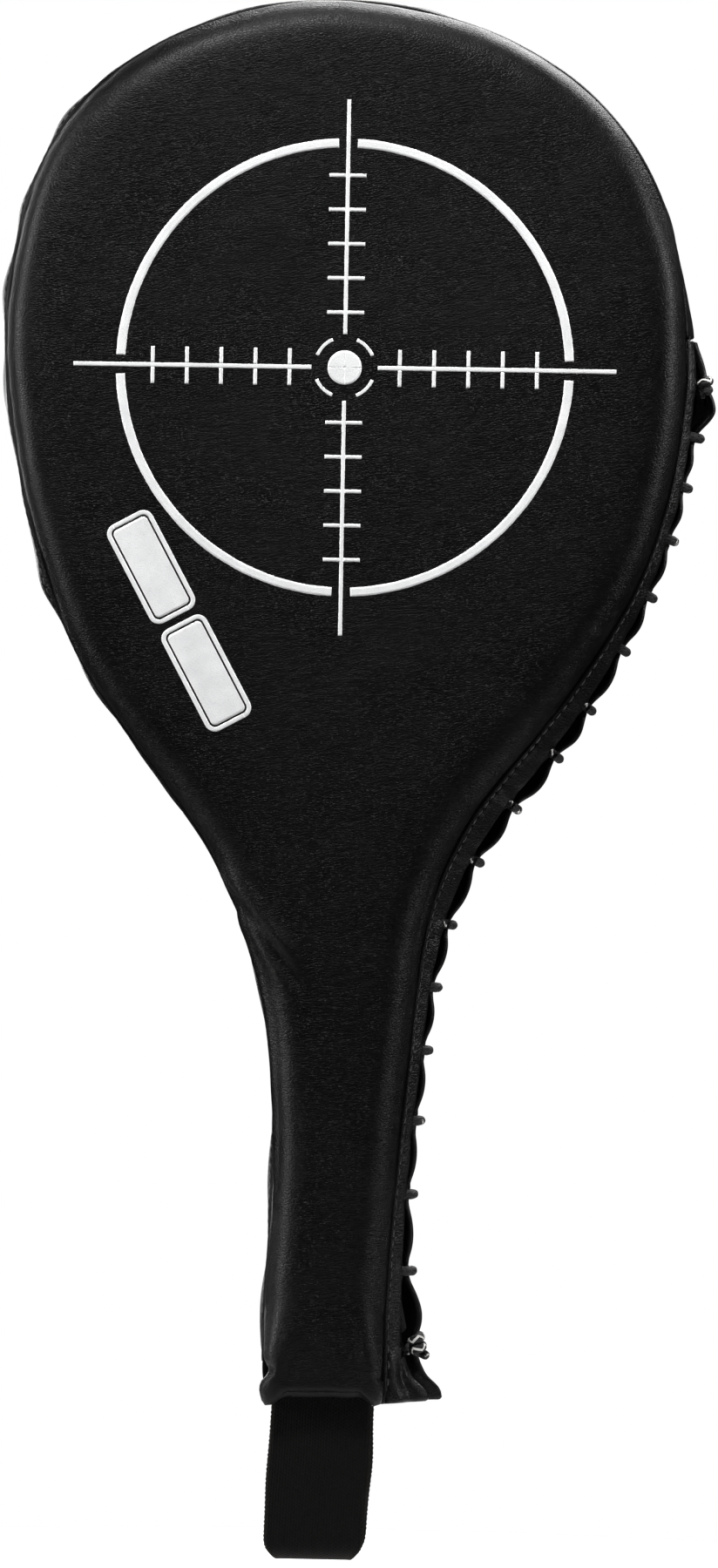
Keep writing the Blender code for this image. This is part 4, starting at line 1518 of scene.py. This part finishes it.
def rope(name, path, outward, tracer, node_name, step=0.42, sides=20):
    """A braided cord along a path. outward gives, for each point, the direction from
    which the turn round the cord is counted; tracer the turn of the white yarn."""
    points, run = evenly(path, step)
    ahead = np.gradient(points, axis=0)
    ahead /= np.linalg.norm(ahead, axis=1, keepdims=True)
    up = np.array([outward(p) for p in points])
    up -= ahead * (up * ahead).sum(1, keepdims=True)
    size = np.linalg.norm(up, axis=1, keepdims=True)
    up = np.where(size > 0.15, up / np.maximum(size, 1e-6), 0)
    for i in range(1, len(up)):
        if not np.any(up[i]):
            up[i] = up[i - 1]
    for _ in range(6):
        up[1:-1] = up[:-2] + 2 * up[1:-1] + up[2:]
        up -= ahead * (up * ahead).sum(1, keepdims=True)
        up /= np.linalg.norm(up, axis=1, keepdims=True)
    right = np.cross(ahead, up)
    radius = LACE_D / 2 * np.ones(len(points))
    end = np.minimum(run, run[-1] - run)
    radius *= np.sqrt(np.clip(end / 1.2, 0.05, 1))
    verts, uv, trace = [], [], []
    for k in range(sides + 1):
        a = 2 * math.pi * k / sides
        lump = 0.5 * np.cos(5 * a) * np.cos(2 * math.pi * run / 2.1)
        lump += 0.2 * np.cos(5 * a + math.pi * run / 2.1)
        r = radius * (1 + 0.05 * lump)
        p = points + up * (np.cos(a) * r)[:, None] + right * (np.sin(a) * r)[:, None]
        verts.append(p)
        uv.append(np.stack([np.full(len(run), k / sides), run * MM], -1))
        trace.append(tracer(run, run[-1]))
    verts, uv, trace = np.stack(verts, 1), np.stack(uv, 1), np.stack(trace, 1)
    rows, count = verts.shape[0], sides
    flat = verts[:, :count].reshape(-1, 3)
    mesh = bpy.data.meshes.new(name)
    faces, corner_uv = [], []
    for r in range(rows - 1):
        for i in range(count):
            j = (i + 1) % count
            faces.append(
                (r * count + i, (r + 1) * count + i, (r + 1) * count + j, r * count + j)
            )
            corner_uv += [uv[r, i], uv[r + 1, i], uv[r + 1, i + 1], uv[r, i + 1]]
    faces.append(tuple(range(count)))
    corner_uv += [uv[0, 0]] * count
    faces.append(tuple((rows - 1) * count + i for i in range(count))[::-1])
    corner_uv += [uv[-1, 0]] * count
    mesh.from_pydata((flat * MM).tolist(), [], faces)
    layer = mesh.uv_layers.new(name="UVMap")
    layer.data.foreach_set("uv", np.array(corner_uv, np.float32).ravel())
    bm = bmesh.new()
    bm.from_mesh(mesh)
    if bm.calc_volume(signed=True) < 0:
        bmesh.ops.reverse_faces(bm, faces=bm.faces)
    bm.to_mesh(mesh)
    bm.free()
    layer = mesh.attributes.new("tracer", "FLOAT", "POINT")
    layer.data.foreach_set("value", trace[:, :count].ravel().astype(np.float32))
    shade(mesh, None)
    mesh.materials.append(CORD)
    obj = bpy.data.objects.new(name, mesh)
    bpy.context.scene.collection.objects.link(obj)
    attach(obj, "paddle")
    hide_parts(node_name)
    return obj, float(run[-1])


def section_out(p):
    """Outward direction of the side at a point."""
    d = np.linalg.norm(LACE_OUTLINE - p[[0, 2]], axis=1)
    out = LACE_OUT[int(np.argmin(d))]
    return np.array([out[0], 0.0, out[1]])


lace_fine = np.linspace(SLIT_S - 5, SLIT_END_S + 5, 700)
LACE_OUTLINE, LACE_OUT = at(lace_fine)

LACE_PATH = lace_route()
LACE_RUN = np.concatenate(
    [[0], np.cumsum(np.linalg.norm(np.diff(LACE_PATH, axis=0), axis=1))]
)


def lace_tracer(run, total):
    """The tracer lies on the hidden side, and turns outward at a few stitches."""
    turn = np.full(len(run), 0.5)
    for k, share in ((2, 0.3), (3, 0.52), (8, 0.5), (13, 0.5)):
        middle = in_section(HOLES[k], float(ridge_at(at(HOLES[k])[0][1], 1)) + 2.0, 0.0)
        near = int(np.argmin(np.linalg.norm(LACE_PATH - middle, axis=1)))
        turn -= share * bump(run - LACE_RUN[near] * total / LACE_RUN[-1], 4.5)
    return turn


lace_obj, LACE_LENGTH = rope("lace", LACE_PATH, section_out, lace_tracer, "lace_cord")


def wrap_out(z):
    s = ridge_s(z)
    edge = float(ridge_at(at(s)[0][1], -1))
    centre = in_section(np.array(s), edge + 3.0, -3.3)
    point, out = at(s)
    ahead = np.array([-out[1], 0.0, out[0]])

    def outward(p):
        d = p - centre
        d = d - ahead * float(d @ ahead)
        return d / max(float(np.linalg.norm(d)), 1e-6)

    return outward


rope(
    "lace_knot_top",
    knot_route(HOLE_Z[0] + 1.5, 1.6, 1.15, 1.9, 2.5, -3.0),
    wrap_out(HOLE_Z[0] + 1.5),
    lambda run, total: 0.5 - 0.42 * bump(run - 0.32 * total, 5.0),
    "lace_start_knot",
    0.3,
)
rope(
    "lace_knot_end",
    knot_route(HOLE_Z[-1] + 1.0, 2.3, 1.3, 2.2, 2.7, -3.6),
    wrap_out(HOLE_Z[-1] + 1.0),
    lambda run, total: np.full(len(run), 0.02),
    "lace_end_knot",
    0.3,
)


# ----------------------------------------------------------------- wrist loop
def web_x(z, edge):
    """Sideways place of an edge of the webbing (-1 left, +1 right) at a height."""
    z = np.asarray(z, float)
    lean = LOOP_X - LOOP_LEAN * (LOOP_ROOT_Z - z)
    bow = 0.7 * bump(z + 76, 9.0) * (edge > 0) - 0.35 * bump(z + 80, 9.0) * (edge < 0)
    return lean + edge * WEB_W / 2 + bow


def strap_line():
    """Middle line of the webbing (y, z, outward y, outward z), from the front end
    round the bend to the back end, with the length along it."""
    rows = []
    for z in np.arange(ANCHOR_TOP_Z - 0.3, LOOP_BEND_Z, -0.7):
        rows.append((-LOOP_Y, z, -1.0, 0.0, 0.0))
    for turn in range(0, 181, 5):
        a = math.radians(turn)
        # flattened at the bottom, as the folded webbing lies
        y = -LOOP_Y * math.copysign(abs(math.cos(a)) ** 0.82, math.cos(a))
        z = LOOP_BEND_Z - 1.6 - 8.1 * abs(math.sin(a)) ** 0.9
        rows.append((y, z, -math.cos(a), -math.sin(a), math.sin(a)))
    for z in np.arange(LOOP_BEND_Z, ANCHOR_TOP_Z - 0.3, 0.7):
        rows.append((LOOP_Y, z, 1.0, 0.0, 0.0))
    rows = np.array(rows)
    run = np.concatenate(
        [[0], np.cumsum(np.linalg.norm(np.diff(rows[:, :2], axis=0), axis=1))]
    )
    want = np.linspace(0, run[-1], int(run[-1] / 0.6))
    rows = np.stack([np.interp(want, run, rows[:, k]) for k in range(5)], -1)
    outward = rows[:, 2:4]
    ahead = np.gradient(rows[:, :2], axis=0)
    ahead /= np.linalg.norm(ahead, axis=1, keepdims=True)
    normal = np.stack([ahead[:, 1], -ahead[:, 0]], -1)
    normal *= np.sign((normal * outward).sum(1, keepdims=True))
    rows[:, 2:4] = normal
    return rows, want


STRAP, STRAP_RUN = strap_line()
STRAP_LENGTH = float(STRAP_RUN[-1])


def strap_piece(name, rows, run, nodes, body):
    """A length of webbing with rounded, slightly scalloped selvedges."""
    across = np.linspace(-1, 1, 41)
    rings, uvs, bend_highlights_and_wears = [], [], []
    for (y, z, ny, nz, turn), v in zip(rows, run):
        draw = LOOP_CORNER * abs(turn) ** 3.2
        left = float(web_x(z, -1)) + draw
        right = float(web_x(z, 1)) - draw
        middle, half = (left + right) / 2, (right - left) / 2
        selvedge = 0.12 * math.cos(2 * math.pi * v / 1.05)
        cup = 0.35 * (1 - turn) * smooth_step(-z, 62, 78)
        ring, uv, bend_highlight_and_wear = [], [], []
        for sign in (1, -1):
            order = across if sign > 0 else across[::-1]
            for e in order:
                edge = abs(e)
                round_off = math.sqrt(max(0.0, 1 - max(0.0, (edge - 0.94) / 0.06) ** 2))
                depth = sign * WEB_T / 2 * max(0.14, round_off)
                # raised cord along each selvedge
                depth += sign * 0.1 * math.exp(-(((edge - 0.93) / 0.03) ** 2))
                rise = depth + cup * (1 - e * e)
                x = middle + e * (half + selvedge * (edge > 0.97))
                ring.append((x, y + ny * rise, z + nz * rise))
                uv.append(((e * half + 20) * MM, v * MM))
                # painted highlight on the bottom of the bend, and wear along the selvedges
                bend_highlight_and_wear.append(turn**4 * 0.9 + 0.2 * (edge > 0.93))
        rings.append(ring)
        uvs.append(uv)
        bend_highlights_and_wears.append(bend_highlight_and_wear)
    rings = np.array(rings)
    obj = make(
        name,
        rings.reshape(-1, 3),
        skin(rings),
        WEBBING,
        body=None,
        sharp=50,
        uv=np.array(uvs).reshape(-1, 2),
    )
    set_point_layer(obj, np.array(bend_highlights_and_wears).ravel())
    if nodes:
        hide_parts(*nodes)
    if body:
        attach(obj, body)
    return obj


def rows_between(test):
    keep = np.flatnonzero(test)
    return STRAP[keep], STRAP_RUN[keep]


half_run = STRAP_LENGTH / 2
front_half = STRAP_RUN <= half_run + 1e-6
MID_Z = -77.0
rows_a, run_a = rows_between(front_half & (STRAP[:, 1] >= MID_Z - 0.6))
rows_b, run_b = rows_between(front_half & (STRAP[:, 1] <= MID_Z + 0.6))
rows_c, run_c = rows_between(~front_half & (STRAP[:, 1] <= MID_Z + 0.6))
rows_d, run_d = rows_between(
    ~front_half & (STRAP[:, 1] >= MID_Z - 0.6) & (STRAP[:, 1] <= LOOP_ROOT_Z + 0.5)
)
rows_e, run_e = rows_between(~front_half & (STRAP[:, 1] >= LOOP_ROOT_Z - 0.5))
# neighbours meet on one shared line
rows_b[0], run_b[0] = rows_a[-1], run_a[-1]
rows_c = np.concatenate([rows_b[-1:], rows_c])
run_c = np.concatenate([run_b[-1:], run_c])
rows_d[0], run_d[0] = rows_c[-1], run_c[-1]

strap_a = strap_piece(
    "strap_front_upper", rows_a, run_a, ("strap_front_anchor", "strap_front_strand"), None
)
strap_b = strap_piece("strap_front_lower", rows_b, run_b, ("strap_fold",), None)
strap_c = strap_piece("strap_back_lower", rows_c, run_c, ("strap_fold",), None)
strap_d = strap_piece("strap_back_upper", rows_d, run_d, ("strap_back_strand",), "loop_back")
strap_e = strap_piece("strap_back_end", rows_e, run_e, ("strap_back_anchor",), "paddle")


def line(y, z):
    return (LOOP_X * MM, y * MM, z * MM)


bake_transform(strap_a)
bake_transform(strap_b)
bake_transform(strap_c)


# ----------------------------------------------------------------------- print
def film(name, shapes, side_obj):
    """Thin white film that lies on the face. Each shape is a grid of (x, z) points."""
    deps = bpy.context.evaluated_depsgraph_get()
    tree = BVHTree.FromObject(side_obj, deps)
    verts, faces = [], []
    thick = 0.07
    for grid in shapes:
        rows, cols = grid.shape[:2]
        base = len(verts)
        for y_off in (0.075, 0.075 - thick):
            for x, z in grid.reshape(-1, 2):
                hit = tree.ray_cast(Vector((x * MM, -0.06, z * MM)), Vector((0, 1, 0)))
                y = hit[0].y / MM if hit[0] is not None else -FACE_Y
                verts.append((x, y - y_off, z))
        under = rows * cols
        for r in range(rows - 1):
            for c in range(cols - 1):
                a = base + r * cols + c
                quad = (a, a + 1, a + cols + 1, a + cols)
                faces.append(quad)
                faces.append(tuple(v + under for v in quad)[::-1])
        rim = [base + c for c in range(cols)]
        rim += [base + r * cols + cols - 1 for r in range(1, rows)]
        rim += [base + (rows - 1) * cols + c for c in range(cols - 2, -1, -1)]
        rim += [base + r * cols for r in range(rows - 2, 0, -1)]
        for k, a in enumerate(rim):
            b = rim[(k + 1) % len(rim)]
            faces.append((a, a + under, b + under, b))
    return make(name, verts, faces, PRINT)


def rough_edge(values, seed, size=0.07):
    """Small unevenness of a printed edge."""
    q = np.asarray(values, float)
    return size * (
        np.sin(q * 5.3 + seed) + 0.7 * np.sin(q * 11.9 + 2 * seed) + 0.5 * np.sin(q * 23)
    ) / 1.6


def arc_shape(radius, width, start, end, seed=0.0):
    steps = max(6, int(math.radians(end - start) * radius / 0.5))
    a = np.radians(np.linspace(start, end, steps))
    lanes = np.linspace(-0.5, 0.5, 5)
    grid = np.zeros((len(lanes), steps, 2))
    run = a * radius
    for i, lane in enumerate(lanes):
        r = radius + lane * width
        if abs(lane) == 0.5:
            r = r + rough_edge(run, seed + 7 * lane)
        grid[i] = np.stack([np.cos(a) * r + PRINT_X, np.sin(a) * r + HEAD_Z], -1)
    return grid


def bar_shape(x0, z0, x1, z1, width, seed=0.0, lanes=4):
    p, q = np.array((x0, z0), float), np.array((x1, z1), float)
    size = np.linalg.norm(q - p)
    run = (q - p) / size
    across = np.array((-run[1], run[0]))
    steps = max(5, int(size / 0.5))
    t = np.linspace(0, size, steps)
    grid = np.zeros((lanes, steps, 2))
    for i, lane in enumerate(np.linspace(-0.5, 0.5, lanes)):
        w = lane * width + (rough_edge(t, seed + 5 * lane, 0.045) if abs(lane) == 0.5 else 0)
        grid[i] = p + run * t[:, None] + across * np.reshape(w, (-1, 1))
    return grid


def target_shapes():
    shapes = []
    # solid dot
    rings = np.linspace(0.05, 5.1, 8)
    turns = np.radians(np.linspace(0, 360, 73))
    for q in range(4):
        a = turns[q * 18 : q * 18 + 19]
        shapes.append(
            np.stack(
                [np.stack([np.cos(a) * r + PRINT_X, np.sin(a) * r + HEAD_Z], -1) for r in rings]
            )
        )
    for q in range(4):
        shapes.append(arc_shape(9.0, 1.0, q * 90 + 23.5, q * 90 + 66.5, q))
        gap = math.degrees(2.8 / 66.8)
        shapes.append(arc_shape(66.8, 2.7, q * 90 + gap, q * 90 + 90 - gap, q + 0.5))
        c, s = round(math.cos(q * math.pi / 2)), round(math.sin(q * math.pi / 2))
        reach = 79.8 if s else 80.8
        ends = [
            PRINT_X + c * 9.9,
            HEAD_Z + s * 9.9,
            PRINT_X + c * reach,
            HEAD_Z + s * reach,
        ]
        width = 1.15 if s else 1.3
        shapes.append(bar_shape(*ends, width, q))
        for k in range(5):
            d = 16.4 + 10.2 * k
            for half in (1, -1):
                near, far = half * (width / 2 + 0.0), half * 5.5
                x0, z0 = PRINT_X + c * d - s * near, HEAD_Z + s * d + c * near
                x1, z1 = PRINT_X + c * d - s * far, HEAD_Z + s * d + c * far
                shapes.append(bar_shape(x0, z0, x1, z1, 1.1, q + k, 3))
    return shapes


def rounded(length, height, corner, inset):
    """Points round a bar with rounded corners, a distance inside its edge."""
    l, h = length / 2 - inset, height / 2 - inset
    r = max(0.25, corner - inset)
    points = []
    for k, (sx, sy) in enumerate(((1, 1), (-1, 1), (-1, -1), (1, -1))):
        for turn in np.radians(np.linspace(90 * k, 90 * k + 90, 9)):
            points.append(
                (sx * (l - r) + r * math.cos(turn), sy * (h - r) + r * math.sin(turn))
            )
    points.append(points[0])
    out = []
    for p, q in zip(points[:-1], points[1:]):
        steps = max(1, int(math.dist(p, q) / 0.7))
        for k in range(steps):
            t = k / steps
            out.append((p[0] * (1 - t) + q[0] * t, p[1] * (1 - t) + q[1] * t))
    out.append(points[0])
    return np.array(out)


def bars():
    """Plain blank print in place of a mark: two bars, each with an inner outline."""
    angle = math.radians(-61.5)
    run = np.array((math.cos(angle), math.sin(angle)))
    up = np.array((-run[1], run[0]))
    middle = np.array((-47.2, 175.2))
    shapes = []

    def lay(points, offset):
        return middle + run * offset + points[..., :1] * run + points[..., 1:] * up

    for offset, length in ((-18.0, 33.0), (17.6, 34.0)):
        lanes = [rounded(length, 15.0, 3.2, d) for d in np.linspace(0.0, 1.35, 4)]
        size = min(len(v) for v in lanes)
        share = np.linspace(0, 1, size)
        grid = np.stack(
            [
                np.stack(
                    [np.interp(share, np.linspace(0, 1, len(v)), v[:, k]) for k in (0, 1)],
                    -1,
                )
                for v in lanes
            ]
        )
        half = size // 2
        shapes.append(lay(grid[:, : half + 1], offset))
        shapes.append(lay(grid[:, half:], offset))
        l, h, cut = length / 2 - 1.9, 7.5 - 1.9, 1.5
        rows = h * np.sin(np.radians(np.linspace(-90, 90, 23)))
        columns = np.linspace(-1, 1, 41)
        trim = cut - np.sqrt(
            np.clip(cut**2 - np.clip(np.abs(rows) - (h - cut), 0, cut) ** 2, 0, None)
        )
        fill = np.stack(
            [
                columns[None, :] * (l - trim)[:, None],
                np.broadcast_to(rows[:, None], (len(rows), len(columns))),
            ],
            -1,
        )
        shapes.append(lay(fill, offset))
    return shapes


film("target_print", target_shapes(), COVER_FRONT)
film("block_print", bars(), COVER_FRONT)


# --------------------------------------------------------------------- filling
def foam_piece(name, side, node_name):
    s = stations(where(FOAM_END_Z, -1) + 0.5, where(FOAM_END_Z, 1) - 0.5, lambda z: 4.0)
    point, out = at(s)
    z = point[:, 1]
    half = len(s) // 2
    laced = np.zeros(len(s))
    laced[half:] = smooth_step(-z[half:], -(SLIT_TOP_Z + 26), -(SLIT_TOP_Z + 2))
    radius = roll_at(z)
    centre_y = FACE_Y - ROLL
    fill = ROLL - SKIN - 1.3
    levels = [(PLATE_T / 2 + 0.3, 0.9), (PLATE_T / 2 + 0.55, 0.25), (PLATE_T / 2 + 1.2, 0.0)]
    levels.append((centre_y, 0.0))
    for k in range(1, 9):
        a = math.radians(k * 90 / 8)
        levels.append((centre_y + fill * math.sin(a), fill * (1 - math.cos(a))))
    edge = (FOAM_EDGE + 0.3) * (1 - laced) + FOAM_LACED * laced
    rings = []
    for y, inset in levels:
        grow = np.where(laced > 0, np.maximum(0, inset - (edge - FOAM_EDGE)), inset)
        grow = grow + 0.12 * inset * laced
        p = point - out * (edge + grow * (0.35 + 0.65 * radius / ROLL))[:, None]
        p[:, 1] = np.maximum(p[:, 1], FOAM_END_Z)
        rings.append(np.stack([p[:, 0], np.full(len(s), side * y), p[:, 1]], -1))
    rings = np.array(rings)
    obj = make(
        name,
        rings.reshape(-1, 3),
        skin(rings),
        FOAM,
        node=(node_name,),
        sharp=50,
    )
    return obj


foam_piece("foam_front", -1, "front_foam_pad")
foam_piece("foam_back", 1, "rear_foam_pad")
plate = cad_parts["stiffener_plate"]
plate.data.materials.clear()
plate.data.materials.append(PLATE)


# ----------------------------------------------------------------------- stage
def studio():
    floor = bpy.data.meshes.new("floor")
    bm = bmesh.new()
    bmesh.ops.create_circle(bm, cap_ends=True, segments=96, radius=0.28)
    bm.to_mesh(floor)
    bm.free()
    obj = bpy.data.objects.new("floor", floor)
    obj.location = (0, 0.0, CAD_BOX[0][2] - 0.012)
    bpy.context.scene.collection.objects.link(obj)
    mat, tree, shader = material("floor")
    shader.inputs["Base Color"].default_value = (0.94, 0.94, 0.94, 1)
    shader.inputs["Roughness"].default_value = 0.8
    shader.inputs["Specular IOR Level"].default_value = 0.1
    floor.materials.append(mat)

    world = bpy.data.worlds.new("studio")
    bpy.context.scene.world = world
    world.use_nodes = True
    tree = world.node_tree
    back = tree.nodes["Background"]
    back.inputs["Color"].default_value = (1, 1, 1, 1)
    path = tree.nodes.new("ShaderNodeLightPath")
    strength = tree.nodes.new("ShaderNodeMapRange")
    strength.inputs["To Min"].default_value = 0.026
    strength.inputs["To Max"].default_value = 1.0
    tree.links.new(path.outputs["Is Camera Ray"], strength.inputs["Value"])
    tree.links.new(strength.outputs["Result"], back.inputs["Strength"])

    def area(name, place, aim, size, power, spread):
        light = bpy.data.lights.new(name, "AREA")
        light.shape = "RECTANGLE"
        light.size, light.size_y = size
        light.energy = power
        light.spread = math.radians(spread)
        lamp = bpy.data.objects.new(name, light)
        lamp.location = place
        direction = Vector(aim) - Vector(place)
        lamp.rotation_mode = "QUATERNION"
        lamp.rotation_quaternion = direction.to_track_quat("-Z", "Y")
        bpy.context.scene.collection.objects.link(lamp)

    area("left", (-1.3, -0.2, 0.5), (0, 0, 0.3), (0.6, 0.9), 2.7, 60)
    area("right", (1.3, -0.25, 0.6), (0, 0, 0.34), (0.45, 0.5), 0.9, 36)
    area("key", (-0.25, -0.75, 1.2), (0, 0, 0.33), (0.8, 0.4), 1.45, 34)
    area("back", (0.4, 1.3, 1.5), (0, 0, 0.15), (1.4, 0.8), 40, 180)
    area("rear", (-0.7, 1.5, 0.5), (0, 0, 0.25), (0.8, 1.0), 10, 180)
    area("top", (0, -0.3, 2.4), (0, -0.1, 0), (1.4, 1.2), 20, 180)


def camera():
    data = bpy.data.cameras.new("camera")
    cam = bpy.data.objects.new("camera", data)
    bpy.context.scene.collection.objects.link(cam)
    distance = 3.0
    aim = Vector((6.5 * MM, 0, 127.5 * MM))
    azimuth = math.radians(2.0)
    back = Vector((math.sin(azimuth), -math.cos(azimuth), 0.0))
    cam.location = aim + back * distance
    cam.rotation_mode = "QUATERNION"
    look = (-back).to_track_quat("-Z", "Y")
    cam.rotation_quaternion = Quaternion(back, math.radians(1.0)) @ look
    data.lens = 36.0 * (distance - 0.011) / 0.468
    data.clip_start, data.clip_end = 0.05, 30
    bpy.context.scene.camera = cam


studio()
camera()
scene = bpy.context.scene
scene.view_settings.view_transform = "Standard"
scene.view_settings.look = "None"
scene.frame_set(1)
